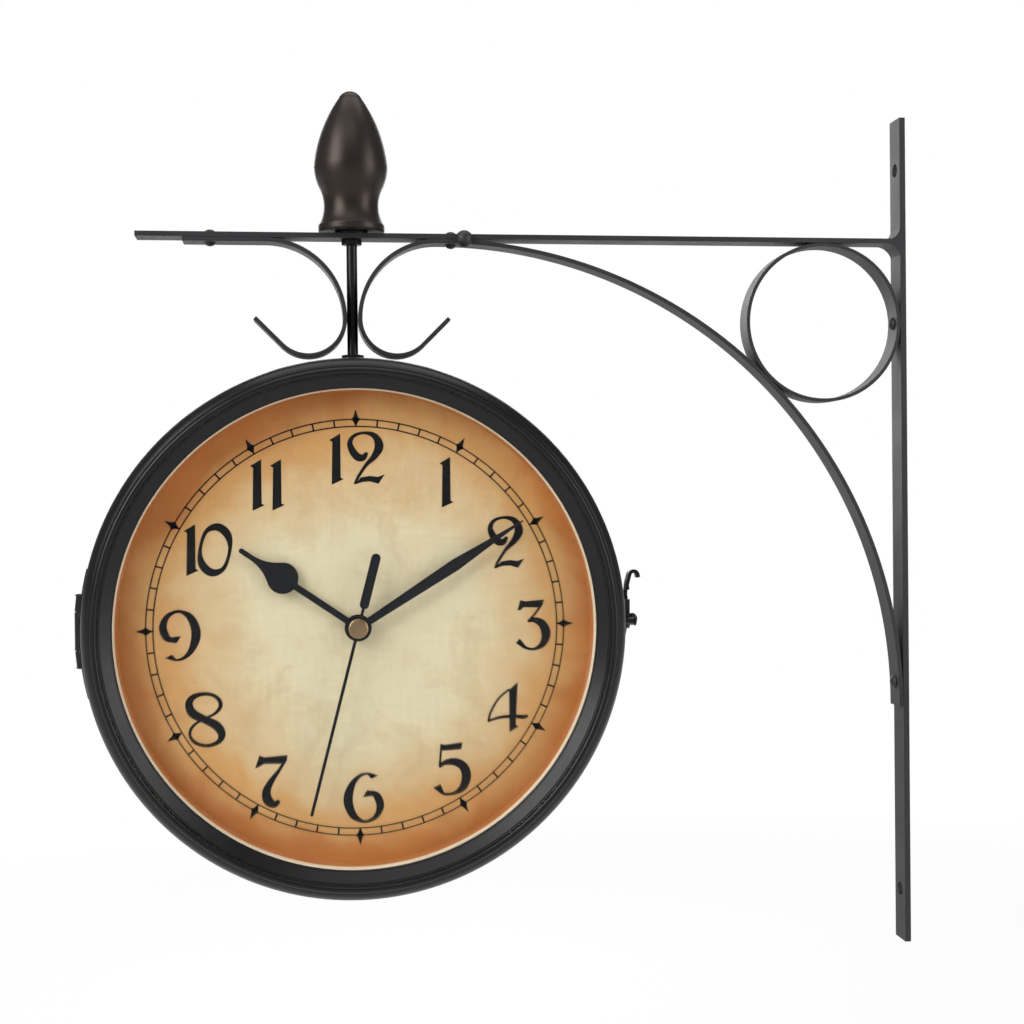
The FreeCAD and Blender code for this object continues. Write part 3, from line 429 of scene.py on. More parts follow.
def arc_points(start, middle, end, count):
    """Points after start along the circle through three points."""
    (ax, ay), (bx, by), (cx, cy) = start, middle, end
    spread = 2 * (ax * (by - cy) + bx * (cy - ay) + cx * (ay - by))
    if abs(spread) < 1e-9:
        return [end]
    first = ax * ax + ay * ay
    second = bx * bx + by * by
    third = cx * cx + cy * cy
    ox = (first * (by - cy) + second * (cy - ay) + third * (ay - by)) / spread
    oy = (first * (cx - bx) + second * (ax - cx) + third * (bx - ax)) / spread
    radius = math.hypot(ax - ox, ay - oy)
    from_angle = math.atan2(ay - oy, ax - ox)
    by_angle = (math.atan2(by - oy, bx - ox) - from_angle) % (2 * math.pi)
    to_angle = (math.atan2(cy - oy, cx - ox) - from_angle) % (2 * math.pi)
    if by_angle > to_angle:
        to_angle -= 2 * math.pi
    return [(ox + radius * math.cos(from_angle + to_angle * number / count),
             oy + radius * math.sin(from_angle + to_angle * number / count))
            for number in range(1, count)] + [end]


def outline(start, steps, count=12):
    """A polyline; a step is a point or a pair (point on an arc, end of the arc)."""
    points = [start]
    for step in steps:
        if isinstance(step[0], tuple):
            points += arc_points(points[-1], step[0], step[1], count)
        else:
            points.append(step)
    return points


def turned(name, points, material, closed=True, steps=192):
    """A turned piece from its half section, with its axis along local Z."""
    section = [(radius, height, 0.0) for radius, height in points]
    edges = chained(len(section), closed)
    piece = new_piece(name, mesh_from(name, section, edges=edges))
    grown(piece, tree_named("turned piece", turning_tree), Steps=steps, Material=material)
    closed_up(piece.data)
    smooth(piece)
    return piece


# ---- finishes ----
class Finish:
    """A node material that is mapped by the object's own coordinates."""

    def __init__(self, name):
        self.material = bpy.data.materials.new(name)
        self.material.use_nodes = True
        self.tree = self.material.node_tree
        self.shader = self.tree.nodes["Principled BSDF"]
        self.place = self.node("ShaderNodeTexCoord").outputs["Object"]

    def node(self, kind, inputs=None, **values):
        return add_node(self.tree, kind, inputs, **values)

    def mapped(self, scale, shift=(0.0, 0.0, 0.0)):
        return self.node("ShaderNodeMapping",
                         {"Vector": self.place, "Scale": scale, "Location": shift})

    def noise(self, scale, detail=3.0, rough=0.55, vector=None, distortion=0.0):
        return self.node("ShaderNodeTexNoise", {
            "Vector": vector or self.place, "Scale": scale, "Detail": detail,
            "Roughness": rough, "Distortion": distortion})

    def ramp(self, value, stops, ease="LINEAR"):
        made = self.node("ShaderNodeValToRGB", {"Fac": value})
        made.color_ramp.interpolation = ease
        while len(made.color_ramp.elements) < len(stops):
            made.color_ramp.elements.new(0.5)
        for element, (position, colour) in zip(made.color_ramp.elements, stops):
            element.position = position
            element.color = (*colour, 1.0)
        return made

    def spread(self, value, low, high, to_low, to_high):
        return self.node("ShaderNodeMapRange", {
            "Value": value, "From Min": low, "From Max": high, "To Min": to_low,
            "To Max": to_high})

    def mix(self, share, *colours):
        """Mix of two colours; the node's colour sockets are inputs 6 and 7 and output 2."""
        first, second = ((*colour, 1.0) if isinstance(colour, tuple) else colour
                         for colour in colours)
        return self.node("ShaderNodeMix", {0: share, 6: first, 7: second},
                         data_type="RGBA").outputs[2]

    def length(self, vector):
        return self.node("ShaderNodeVectorMath", {0: vector}, operation="LENGTH").outputs["Value"]

    def calculate(self, operation, first, second):
        return self.node("ShaderNodeMath", {0: first, 1: second}, operation=operation)

    def bump(self, height, strength, distance):
        self.surface(Normal=self.node("ShaderNodeBump", {
            "Strength": strength, "Distance": distance * MM, "Height": height}))

    def surface(self, **values):
        """Sets inputs of the surface shader, with _ for each space in their names."""
        fill(self.tree, self.shader,
             {name.replace("_", " "): value for name, value in values.items()})


def lighter(colour, share):
    return tuple(channel + share for channel in colour)


def painted(name, colour, dust, rough=(0.34, 0.5), grain=2600.0, depth=0.03, shine=0.3,
            tint=(1.0, 1.0, 1.0)):
    """Satin coat with fine grain, faint cloudy wear and a little dust."""
    finish = Finish(name)
    cloud = finish.noise(38.0, 4.0, 0.6)
    speck = finish.noise(900.0, 2.0, 0.7)
    grey = finish.ramp(cloud, [(0.32, colour), (0.56, lighter(colour, dust * 0.35)),
                               (0.78, lighter(colour, dust))])
    worn = finish.spread(speck, 0.62, 0.74, 0.0, 0.5)
    finish.surface(Base_Color=finish.mix(worn, grey, lighter(colour, dust * 1.6)),
                   Roughness=finish.spread(cloud, 0.25, 0.75, *rough),
                   Specular_IOR_Level=shine, Specular_Tint=(*tint, 1.0))
    finish.bump(finish.noise(grain, 2.0, 0.6), 0.35, depth)
    return finish.material


def dial_finish(cream, tan, rust):
    """Printed card: cream middle, mottled tan, orange brown edge and a faint linen grain."""
    finish = Finish("dial card")
    x, z = case_centre()
    reach = finish.length(finish.mapped((1.0, 0.0, 1.0), (-x, 0.0, -z)))
    cloud = finish.noise(22.0, 5.0, 0.62, distortion=0.4)
    patch = finish.noise(9.0, 3.0, 0.5)
    drift = finish.calculate("MULTIPLY", finish.calculate("SUBTRACT", cloud, 0.5), 0.042)
    wide = finish.calculate("MULTIPLY", finish.calculate("SUBTRACT", patch, 0.5), 0.046)
    radius = finish.calculate("ADD", reach, finish.calculate("ADD", drift, wide))
    share = finish.calculate("DIVIDE", radius, RING_LIP * MM)
    middle = tuple((a + b) / 2 for a, b in zip(cream, tan))
    base = finish.ramp(share, [(0.0, cream), (0.40, cream), (0.64, middle), (0.82, tan),
                               (1.0, rust)], "EASE")
    glow = finish.spread(finish.noise(15.0, 3.0, 0.5), 0.45, 0.7, 0.0, 0.55)
    edge = finish.calculate("MULTIPLY", finish.spread(share, 0.72, 1.0, 0.0, 1.0), glow)
    base = finish.mix(edge, base, (0.62, 0.235, 0.045))
    stain = finish.noise(46.0, 6.0, 0.7, distortion=0.8)
    stained = finish.mix(finish.spread(stain, 0.5, 0.78, 0.0, 0.42), base,
                         tuple(channel * 0.72 for channel in tan))
    warp = finish.noise(1.0, 1.0, 0.5, finish.mapped((620.0, 1.0, 90.0)))
    weft = finish.noise(1.0, 1.0, 0.5, finish.mapped((90.0, 1.0, 620.0)))
    linen = finish.calculate("MULTIPLY", warp, weft)
    tint = finish.spread(linen, 0.1, 0.42, 0.965, 1.03)
    finish.surface(Base_Color=finish.node("ShaderNodeVectorMath", {0: stained, "Scale": tint},
                                          operation="SCALE"))
    finish.surface(Roughness=finish.spread(cloud, 0.2, 0.8, 0.5, 0.62))
    finish.bump(linen, 0.12, 0.05)
    return finish.material


def ring_finish(cream, rust):
    """Cream rim under the glass, toned like the dial's edge on the deeper part of the wall."""
    finish = Finish("ring enamel")
    depth = finish.length(finish.mapped((0.0, 1.0, 0.0)))
    cloud = finish.noise(60.0, 4.0, 0.6)
    toned = finish.ramp(cloud, [(0.3, rust), (0.7, lighter(rust, 0.05))])
    clean = finish.ramp(cloud, [(0.3, cream), (0.7, lighter(cream, 0.04))])
    face = -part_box("front_spacer_ring")[0][1]
    near_glass = finish.spread(depth, face - 2.9 * MM, face - 2.3 * MM, 0.0, 1.0)
    finish.surface(Base_Color=finish.mix(near_glass, toned, clean),
                   Roughness=finish.spread(cloud, 0.25, 0.75, 0.42, 0.55))
    finish.bump(finish.noise(2600.0, 2.0, 0.6), 0.35, 0.02)
    return finish.material


def glass_finish():
    """Clear glass; the low alpha keeps the dial behind it free of haze."""
    finish = Finish("clear glass")
    smear = finish.noise(30.0, 3.0, 0.6)
    tint = finish.ramp(smear, [(0.3, (0.96, 0.98, 0.97)), (0.7, (0.99, 1.0, 0.99))])
    finish.surface(Base_Color=tint, Roughness=finish.spread(smear, 0.3, 0.7, 0.015, 0.05),
                   Alpha=0.10, IOR=1.45, Transmission_Weight=1.0)
    return finish.material


def metal_finish(name, colour, rough, dark):
    """Turned or drawn metal with fine marks and dull patches."""
    finish = Finish(name)
    cloud = finish.noise(140.0, 4.0, 0.6)
    marks = finish.noise(1.0, 2.0, 0.6, finish.mapped((400.0, 2400.0, 400.0)))
    dull = finish.spread(cloud, 0.35, 0.7, 0.0, 0.8)
    finish.surface(Base_Color=finish.mix(dull, colour, dark), Metallic=1.0,
                   Roughness=finish.spread(marks, 0.3, 0.7, rough - 0.08, rough + 0.1))
    finish.bump(marks, 0.15, 0.02)
    return finish.material


def moulded(name, colour):
    """Moulded plastic with a fine spark grain."""
    finish = Finish(name)
    cloud = finish.noise(60.0, 3.0, 0.5)
    finish.surface(Base_Color=finish.ramp(cloud, [(0.3, colour), (0.7, lighter(colour, 0.012))]),
                   Roughness=finish.spread(cloud, 0.3, 0.7, 0.44, 0.56))
    finish.bump(finish.noise(3200.0, 2.0, 0.6), 0.3, 0.02)
    return finish.material


def cell_finish():
    """Battery wrap: bare steel at the ends, a dark grey sleeve with one light band."""
    finish = Finish("battery wrap")
    x, _ = case_centre()
    split = finish.node("ShaderNodeSeparateXYZ",
                        {0: finish.mapped((1.0, 1.0, 1.0), (-x, 0.0, 0.0))})
    half = CELL_HALF * MM
    along = finish.spread(split, -half, half, 0.0, 1.0)
    steel, sleeve = (0.55, 0.55, 0.56), (0.03, 0.035, 0.04)
    band = finish.ramp(along, [(0.0, steel), (0.035, sleeve), (0.70, sleeve),
                               (0.72, (0.30, 0.22, 0.10)), (0.965, steel)], "CONSTANT")
    finish.surface(Base_Color=band,
                   Roughness=finish.spread(finish.noise(50.0), 0.3, 0.7, 0.25, 0.35))
    return finish.material


def make_finishes():
    colours = settings().finish
    case = tuple(colours.case_black)
    bars = tuple(colours.bar_black)
    return {
        "case": painted("case paint", case, 0.003, rough=(0.26, 0.38), shine=0.26),
        "bars": painted("bracket powder coat", bars, 0.010, rough=(0.44, 0.60), grain=1900.0,
                        depth=0.06, shine=0.45),
        "finial": painted("finial bronze paint", tuple(colours.finial_brown), 0.004,
                          rough=(0.30, 0.44), shine=0.4, tint=(1.0, 0.80, 0.70)),
        "hands": painted("hand paint", (0.006, 0.0065, 0.009), 0.003, rough=(0.36, 0.46),
                         shine=0.2),
        "ink": painted("printing ink", tuple(colours.ink), 0.002, rough=(0.45, 0.6), depth=0.01,
                       shine=0.12),
        "cream": ring_finish((0.74, 0.66, 0.49), tuple(colours.dial_rust)),
        "dial": dial_finish(tuple(colours.dial_cream), tuple(colours.dial_tan),
                            tuple(colours.dial_rust)),
        "glass": glass_finish(),
        "brass": metal_finish("aged brass", (0.34, 0.24, 0.13), 0.38, (0.16, 0.11, 0.07)),
        "steel": metal_finish("spring steel", (0.55, 0.55, 0.56), 0.3, (0.35, 0.35, 0.36)),
        "plastic": moulded("movement plastic", (0.018, 0.018, 0.020)),
        "battery": cell_finish(),
    }


finishes = {}


# ---- bracket ----
def bent_bar(name, node, path, thickness, closed=False):
    """A bar along a path drawn in millimetres, stood up in the bracket's XZ plane."""
    sizes = settings().bracket
    piece = new_piece(name, mesh_from(name, path, edges=chained(len(path), closed)))
    grown(piece, tree_named("bent bar", bar_tree), Width=sizes.bar_width, Thickness=thickness,
          Edge=sizes.edge, Material=finishes["bars"])
    closed_up(piece.data)
    smooth(piece, 50.0)
    place(piece, Matrix.Scale(MM, 4) @ Matrix.Rotation(math.pi / 2, 4, "X"))
    hand_over(piece, "mounted", "bracket_iron", node)


def curled(sense):
    """Steps of a scroll's large bend, small bend and straight end."""
    sizes = settings().bracket
    return [("bend", sizes.scroll_radius, 90.0 * sense),
            ("bend", sizes.curl_radius, CURL_TURN * sense), ("straight", CURL_END)]


class CLOCK_OT_bracket_bars(bpy.types.Operator):
    """Wall strip, arm, brace, scrolls and ring"""
    bl_idname = "clock.bracket_bars"
    bl_label = "Bracket bars"

    def execute(self, context):
        sizes = settings().bracket
        strip_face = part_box("wall_strip")[0][0] / MM
        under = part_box("arm")[0][2] / MM
        brace_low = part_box("scrolled_brace")[0]
        half = sizes.band_thick / 2
        outer = sizes.brace_radius + half
        centre_z = under - outer
        foot = centre_z - brace_low[2] / MM
        flat = -(brace_low[0] / MM) + strip_face - outer - sizes.scroll_radius - half
        brace = bent_path((strip_face - half, centre_z - foot), 90.0, [
            ("straight", foot), ("bend", sizes.brace_radius, 90.0), ("straight", flat),
            *curled(1)], pitch=1.5)
        bent_bar("brace_bar", "scrolled_brace", brace, sizes.band_thick)
        low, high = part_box("left_scroll")
        left_end = low[0] / MM
        run = high[0] / MM - half - sizes.scroll_radius - left_end
        scroll = bent_path((left_end, under - half), 0.0, [("straight", run), *curled(-1)])
        bent_bar("scroll_bar", "left_scroll", scroll, sizes.band_thick)
        low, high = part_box("bracket_ring")
        radius = half_width("bracket_ring") - sizes.ring_thick / 2
        middle = ((high[0] + low[0]) / MM / 2, (high[2] + low[2]) / MM / 2)
        circle = [(middle[0] + radius * math.cos(math.radians(turn)),
                   middle[1] + radius * math.sin(math.radians(turn)), 0.0)
                  for turn in range(0, 360, 3)]
        bent_bar("ring_bar", "bracket_ring", circle, sizes.ring_thick, closed=True)
        softened("wall_strip", 0.3, finishes["bars"])
        softened("arm", 0.3, finishes["bars"])
        return {"FINISHED"}


class CLOCK_OT_fixings(bpy.types.Operator):
    """Rivets, welds, rod, nuts and washers"""
    bl_idname = "clock.fixings"
    bl_label = "Fixings"

    def execute(self, context):
        softened("bracket_rivets", 0.12, finishes["bars"])
        softened("bracket_welds", 0.35, finishes["bars"], angle=60.0)
        for node, width in (("stem_rod", 0.25), ("arm_nut", 0.3), ("case_nuts", 0.4),
                            ("case_washers", 0.2), ("finial_washer", 0.2), ("joining_ring", 0.1),
                            ("joining_screws", 0.1)):
            softened(node, width, finishes["case"])
        return {"FINISHED"}


class CLOCK_OT_finial(bpy.types.Operator):
    """Turned bud on top of the arm"""
    bl_idname = "clock.finial"
    bl_label = "Finial"

    def execute(self, context):
        low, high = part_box("finial")
        height = (high[2] - low[2]) / MM
        points = outline((0.0, 0.0), [
            (11.5, 0.0), ((11.86, 0.2), (12.0, 0.7)), (12.0, 2.0), ((11.88, 2.5), (11.55, 2.95)),
            ((9.9, height * 0.205), (11.55, height * 0.318)),
            ((12.75, height * 0.385), (13.3, height * 0.463)),
            ((10.35, height * 0.72), (4.3, height * 0.945)),
            ((2.6, height * 0.985), (0.0, height))], count=22)
        piece = turned("finial_bud", points, finishes["finial"], closed=False, steps=128)
        shift = Matrix.Translation(((low[0] + high[0]) / 2, 0, low[2]))
        place(piece, shift @ Matrix.Scale(MM, 4))
        hand_over(piece, "mounted", "finial_bronze", "finial")
        return {"FINISHED"}


# ---- case ----
def bezel_section():
    """Half section of a bezel, in the dial's own frame."""
    low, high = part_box("front_bezel")
    rim = half_width("front_bezel")
    crest = -low[1] / MM
    edge = -high[1] / MM
    glass = -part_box("front_glass")[0][1] / MM
    skirt = rim - WALL
    lip = rim - BEZEL_LAND
    outer = [(rim - 0.15, edge), (rim, edge + 0.15), (rim, crest - 8.6),
             ((rim - 0.72, crest - 4.3), (rim - 3.2, crest - 1.62)),
             ((rim - 3.55, crest - 1.62), (rim - 3.75, crest - 1.95)),
             ((rim - 4.9, crest), (rim - 6.05, crest - 1.55)),
             ((rim - 6.15, crest - 2.25), (rim - 6.7, crest - 2.45)),
             (lip + 0.55, glass + 0.95), ((lip + 0.08, glass + 0.62), (lip, glass + 0.3)),
             (lip, glass)]
    inner = [(skirt, glass), (skirt, edge)]
    return outline((skirt, edge), outer + inner, count=10)[:-1]


class CLOCK_OT_case_shell(bpy.types.Operator):
    """Drum, both bezels and the cream rings inside them"""
    bl_idname = "clock.case_shell"
    bl_label = "Case shell"

    def execute(self, context):
        for side, body in SIDES.items():
            bezel = turned(side + "_rim", bezel_section(), finishes["case"])
            place(bezel, face_matrix(side))
            hand_over(bezel, body, "black_case", side + "_bezel")
            low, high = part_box("front_spacer_ring")
            back, face = -high[1] / MM, -low[1] / MM
            ring = outline((RING_FOOT, back), [
                (RING_FLANGE, back), (RING_FLANGE, back + WALL),
                (RING_FOOT + RING_WALL, back + WALL), (RING_LIP + RING_WALL, face),
                (RING_LIP + 0.25, face), ((RING_LIP, face - 0.05), (RING_LIP - 0.05, face - 0.3))],
                count=5)
            cream = turned(side + "_cream_ring", ring, finishes["cream"])
            place(cream, face_matrix(side))
            hand_over(cream, body, "cream_paint", side + "_spacer_ring")
        rim = half_width("case_drum")
        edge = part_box("case_drum")[1][1] / MM
        outer = [(rim - 0.2, -edge), (rim, -edge + 0.2)]
        for level in GROOVES:
            outer += [(rim, level - 1.6), ((rim - 0.12, level - 1.2), (rim - 0.4, level - 0.7)),
                      ((rim - 0.6, level), (rim - 0.4, level + 0.7)),
                      ((rim - 0.12, level + 1.2), (rim, level + 1.6))]
        outer += [(rim, edge - 0.2), (rim - 0.2, edge), (rim - WALL, edge)]
        section = outline((rim - WALL, -edge), outer, count=6)
        drum = turned("drum_shell", section, finishes["case"])
        place(drum, face_matrix("front"))
        hand_over(drum, "mounted", "black_case", "case_drum")
        return {"FINISHED"}


class CLOCK_OT_hinge_and_latch(bpy.types.Operator):
    """Butterfly hinge, its rivets, the hook latch and its keeper"""
    bl_idname = "clock.hinge_and_latch"
    bl_label = "Hinge and latch"

    def execute(self, context):
        for node in ("hinge_leaf_case", "hinge_leaf_door"):
            softened(node, 0.12, finishes["case"], shaped=wrapped)
        for node, width in (("hinge_pin", 0.1), ("hinge_rivets_case", 0.06),
                            ("hinge_rivets_door", 0.06), ("latch_plate", 0.2),
                            ("latch_pivot", 0.1), ("latch_keeper", 0.12), ("latch_lever", 0.2)):
            softened(node, width, finishes["case"])
        return {"FINISHED"}


# ---- dial ----
STEM = [(-14, 38), (8, 51), (8, -37), (14, -40), (-10, -51), (-8, 34)]

# A digit is drawn in hundredths of its height: flat shapes, and pen strokes with their widths.
DIGITS = {
    "1": ([STEM], []),
    "2": ([[(-27, -51), (-14, -37), (4, -34), (20, -36), (34, -31), (21, -50), (4, -45),
            (-11, -46)]],
          [[(-1, 13, 4), (-9, 3, 10), (-20, 4, 12), (-30, 16, 11), (-35, 32, 8), (-27, 46, 5),
            (-7, 52, 4), (14, 46, 9), (23, 26, 14), (14, 6, 10), (-4, -13, 5), (-20, -37, 4),
            (-26, -50, 3)]]),
    "3": ([[(-30, 28), (-24, 49), (-15, 46), (25, 49), (18, 33), (-17, 34), (-24, 28)],
           [(-34, -38), (-26, -29), (-13, -45), (-23, -46)]],
          [[(21, 42, 4), (7, 22, 3), (-9, 5, 3)],
           [(-9, 5, 3), (4, 8, 8), (20, 0, 13), (28, -20, 15), (21, -41, 10), (3, -51, 4),
            (-14, -48, 4), (-25, -41, 4)]]),
    "4": ([[(-2, 32), (19, 50), (14, -37), (20, -40), (1, -51), (1, 34)]],
          [[(2, 36, 3), (-20, 18, 3), (-36, -8, 3), (-42, -28, 3)],
           [(-43, -28, 3), (-20, -21, 4), (6, -19, 5), (30, -21, 6), (39, -18, 3)]]),
    "5": ([[(-19, 51), (-12, 48), (26, 52), (23, 38), (-15, 36)],
           [(-35, -38), (-20, -31), (-13, -47), (-24, -46)]],
          [[(-17, 48, 3), (-19, 25, 3), (-21, 3, 3)],
           [(-21, 3, 3), (-10, 12, 8), (10, 13, 12), (27, 3, 14), (33, -16, 15), (26, -38, 12),
            (8, -50, 5), (-12, -51, 4), (-24, -43, 4)]]),
    "6": ([[(29, 44), (15, 37), (4, 49), (14, 48)], [(-3, 1), (6, 15), (17, 13), (19, 4), (9, 2)]],
          [[(22, 44, 3), (7, 48, 3), (-8, 44, 5), (-22, 30, 9), (-31, 7, 14), (-31, -14, 14),
           (-21, -36, 11), (-4, -47, 5), (11, -46, 5), (25, -36, 8), (32, -17, 12), (27, 0, 12),
           (20, 7, 9), (12, 8, 8)]]),
    "7": ([[(-33, 25), (-24, 51), (-15, 47), (31, 50), (30, 40), (17, 33), (-15, 34), (-25, 28)]],
          [[(28, 42, 4), (14, 20, 5), (-2, -2, 9), (-11, -22, 13), (-8, -39, 15), (4, -47, 11),
            (14, -40, 5)]]),
    "8": ([], [[(-33, 30, 12), (-25, 13, 14), (-3, 1, 12), (20, -12, 14), (30, -29, 12),
                (23, -44, 7), (1, -51, 5), (-22, -44, 5), (-32, -28, 4), (-25, -11, 4),
                (-5, 2, 3), (17, 12, 4), (28, 26, 6), (25, 40, 6), (10, 50, 5), (-10, 51, 6),
                (-27, 44, 9), (-33, 30, 12)]]),
    "0": ([], [[(-29, 0, 5), (-25, -29, 12), (-6, -45, 12), (17, -36, 6), (29, 0, 5),
                (25, 29, 12), (6, 45, 12), (-17, 36, 6), (-29, 0, 5)]]),
}

# Each hour: the middle of its number in millimetres, on a dial with the drawn numeral circle,
# then its digits with their shift to the side in hundredths of the height.
HOURS = {
    1: ((31.2, 49.9), [("1", 0)]), 2: ((52.4, 28.4), [("2", 0)]),
    3: ((60.8, 0.0), [("3", 0)]), 4: ((52.2, -28.9), [("4", 0)]),
    5: ((31.4, -49.8), [("5", 0)]), 6: ((1.5, -59.0), [("6", 0)]),
    7: ((-30.0, -52.1), [("7", 0)]), 8: ((-52.0, -30.6), [("8", 0)]),
    9: ((-60.6, -1.6), [("9", 0)]), 10: ((-50.6, 27.5), [("1", -33), ("0", 13)]),
    11: ((-30.5, 49.5), [("1", -19), ("1", 20)]), 12: ((0.0, 58.2), [("1", -39), ("2", 23)]),
}

# Star mark: reach outwards and inwards, half width, and where its sides draw in.
STAR_OUT, STAR_IN, STAR_WIDE, STAR_WAIST = 3.5, 2.5, 1.6, 0.82


def eased(points, share=6):
    """A smooth run through the pen's points, each (x, y, width), and whether it is a loop."""
    loop = points[0] == points[-1]
    count = len(points)
    result = []
    for number in range(count - 1):
        before = points[number - 1] if number else (points[-2] if loop else points[0])
        after = points[number + 2] if number + 2 < count else (points[1] if loop else points[-1])
        here, there = points[number], points[number + 1]
        for step in range(share):
            t = step / share
            result.append(tuple(
                0.5 * (2 * b + (c - a) * t + (2 * a - 5 * b + 4 * c - d) * t * t
                       + (3 * b - a - 3 * c + d) * t ** 3)
                for a, b, c, d in zip(before, here, there, after)))
    return result + ([] if loop else [points[-1]]), loop


def add_prism(points, faces, rim, thick):
    """A flat closed shape, thick along Z, from its corners in order."""
    area = sum(a[0] * b[1] - b[0] * a[1] for a, b in zip(rim, rim[1:] + rim[:1]))
    if area < 0:
        rim = rim[::-1]
    first = len(points)
    count = len(rim)
    points.extend((x, y, thick) for x, y in rim)
    points.extend((x, y, 0.0) for x, y in rim)
    faces.append(tuple(range(first, first + count)))
    faces.append(tuple(reversed(range(first + count, first + 2 * count))))
    for number in range(count):
        following = (number + 1) % count
        faces.append((first + number, first + count + number, first + count + following,
                      first + following))


def add_stroke(points, faces, run, loop, thick):
    """A pen stroke as a ribbon of boxes along its run.

    Its top rises along the run, so that a stroke that crosses itself has no faces in one plane.
    """
    count = len(run)
    first = len(points)
    for number, (x, y, width) in enumerate(run):
        before = run[number - 1] if number or loop else run[0]
        after = run[(number + 1) % count] if loop or number + 1 < count else run[-1]
        heading = Vector((after[0] - before[0], after[1] - before[1])).normalized()
        side = Vector((-heading.y, heading.x)) * width / 2
        top = thick * (1.0 + 0.5 * number / count)
        for sense, level in ((1, top), (-1, top), (-1, 0.0), (1, 0.0)):
            points.append((x + side.x * sense, y + side.y * sense, level))
    last = count if loop else count - 1
    for number in range(last):
        a = first + 4 * number
        b = first + 4 * ((number + 1) % count)
        for corner in range(4):
            following = (corner + 1) % 4
            faces.append((a + corner, a + following, b + following, b + corner))
    if not loop:
        faces.append((first + 3, first + 2, first + 1, first))
        faces.append(tuple(range(first + 4 * (count - 1), first + 4 * count)))


def digit_shapes(digit):
    """Flat shapes and strokes of a digit; nine is six turned over."""
    if digit != "9":
        return DIGITS[digit]
    shapes, strokes = DIGITS["6"]
    return ([[(-x, -y) for x, y in shape] for shape in shapes],
            [[(-x, -y, width) for x, y, width in stroke] for stroke in strokes])


def numeral_mesh():
    """All twelve hour numbers, upright, in the dial's own frame."""
    sizes = settings().dial
    unit = sizes.numeral_height / 100.0
    points, faces = [], []
    for place_at, digits in HOURS.values():
        middle_x, middle_y = (distance * sizes.numeral_radius / DRAWN_CIRCLE
                              for distance in place_at)
        for digit, shift in digits:
            shapes, strokes = digit_shapes(digit)
            for shape in shapes:
                rim = [(middle_x + (x + shift) * unit, middle_y + y * unit) for x, y in shape]
                add_prism(points, faces, rim, sizes.print_thick)
            for stroke in strokes:
                run, loop = eased(stroke)
                placed = [(middle_x + (x + shift) * unit, middle_y + y * unit,
                           (width * sizes.pen_heavy + sizes.pen_least) * unit)
                          for x, y, width in run]
                add_stroke(points, faces, placed, loop, sizes.print_thick)
    return mesh_from("numerals", points, faces)


def star_shape(radius):
    """Four point star at twelve o'clock, its longest point outwards."""
    waist = STAR_WAIST
    return [(0.0, radius + STAR_OUT), (waist, radius + waist), (STAR_WIDE, radius),
            (waist, radius - waist), (0.0, radius - STAR_IN), (-waist, radius - waist),
            (-STAR_WIDE, radius), (-waist, radius + waist)]


def print_piece(name, shape, count):
    """A flat shape drawn at twelve o'clock and repeated round the dial."""
    points, faces = [], []
    add_prism(points, faces, shape, settings().dial.print_thick)
    piece = new_piece(name, mesh_from(name, points, faces))
    return grown(piece, tree_named("marks in a circle", round_tree), Count=count,
                 Material=finishes["ink"])


class CLOCK_OT_dial_print(bpy.types.Operator):
    """Minute track, hour stars and hour numbers on both dials"""
    bl_idname = "clock.dial_print"
    bl_label = "Dial print"

    def execute(self, context):
        sizes = settings().dial
        face = -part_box("front_dial")[0][1] / MM
        lift = Matrix.Translation((0, 0, face + 0.01))
        half_tick, half_line = sizes.tick / 2, sizes.line / 2
        tick = [(-half_tick, sizes.track_inner), (half_tick, sizes.track_inner),
                (half_tick, sizes.track_outer), (-half_tick, sizes.track_outer)]
        for side, body in SIDES.items():
            made = [print_piece(side + "_minute_marks", tick, sizes.minutes),
                    print_piece(side + "_hour_stars", star_shape(sizes.track_outer), sizes.hours)]
            for name, radius in (("inner", sizes.track_inner), ("outer", sizes.track_outer)):
                near, far = radius - half_line, radius + half_line
                section = [(near, 0.0), (far, 0.0), (far, sizes.print_thick),
                           (near, sizes.print_thick)]
                made.append(turned(side + "_track_" + name, section, finishes["ink"]))
            made.append(new_piece(side + "_numbers", numeral_mesh(), finishes["ink"]))
            for piece in made:
                place(piece, face_matrix(side) @ lift)
                hand_over(piece, body, "hand_black")
        return {"FINISHED"}


class CLOCK_OT_hands(bpy.types.Operator):
    """Hour, minute and second hands with their tubes and cap"""
    bl_idname = "clock.hands"
    bl_label = "Hands"

    def execute(self, context):
        for side in SIDES:
            for part in ("hour_hand", "minute_hand", "second_hand"):
                softened(side + "_" + part, 0.12, finishes["hands"])
            for part, width in (("hour_tube", 0.05), ("minute_arbor", 0.05), ("centre_cap", 0.18),
                                ("bush_nut", 0.12)):
                softened(side + "_" + part, width, finishes["brass"])
        return {"FINISHED"}


class CLOCK_OT_movements(bpy.types.Operator):
    """Movement housings, setting knobs, batteries, contacts and the plates behind the dials"""
    bl_idname = "clock.movements"
    bl_label = "Movements"

    def execute(self, context):
        for side in SIDES:
            for part, width, finish in (("movement", 0.5, "plastic"),
                                        ("setting_knob", 0.2, "plastic"),
                                        ("dial_carrier", 0.2, "plastic"),
                                        ("battery", 0.4, "battery"),
                                        ("battery_contacts", 0.08, "steel"),
                                        ("snap_ring", 0.1, "case")):
                softened(side + "_" + part, width, finishes[finish])
            for part, finish in (("dial", "dial"), ("glass", "glass")):
                node = frame["nodes"][side + "_" + part]
                node.data.materials.clear()
                node.data.materials.append(finishes[finish])
        return {"FINISHED"}


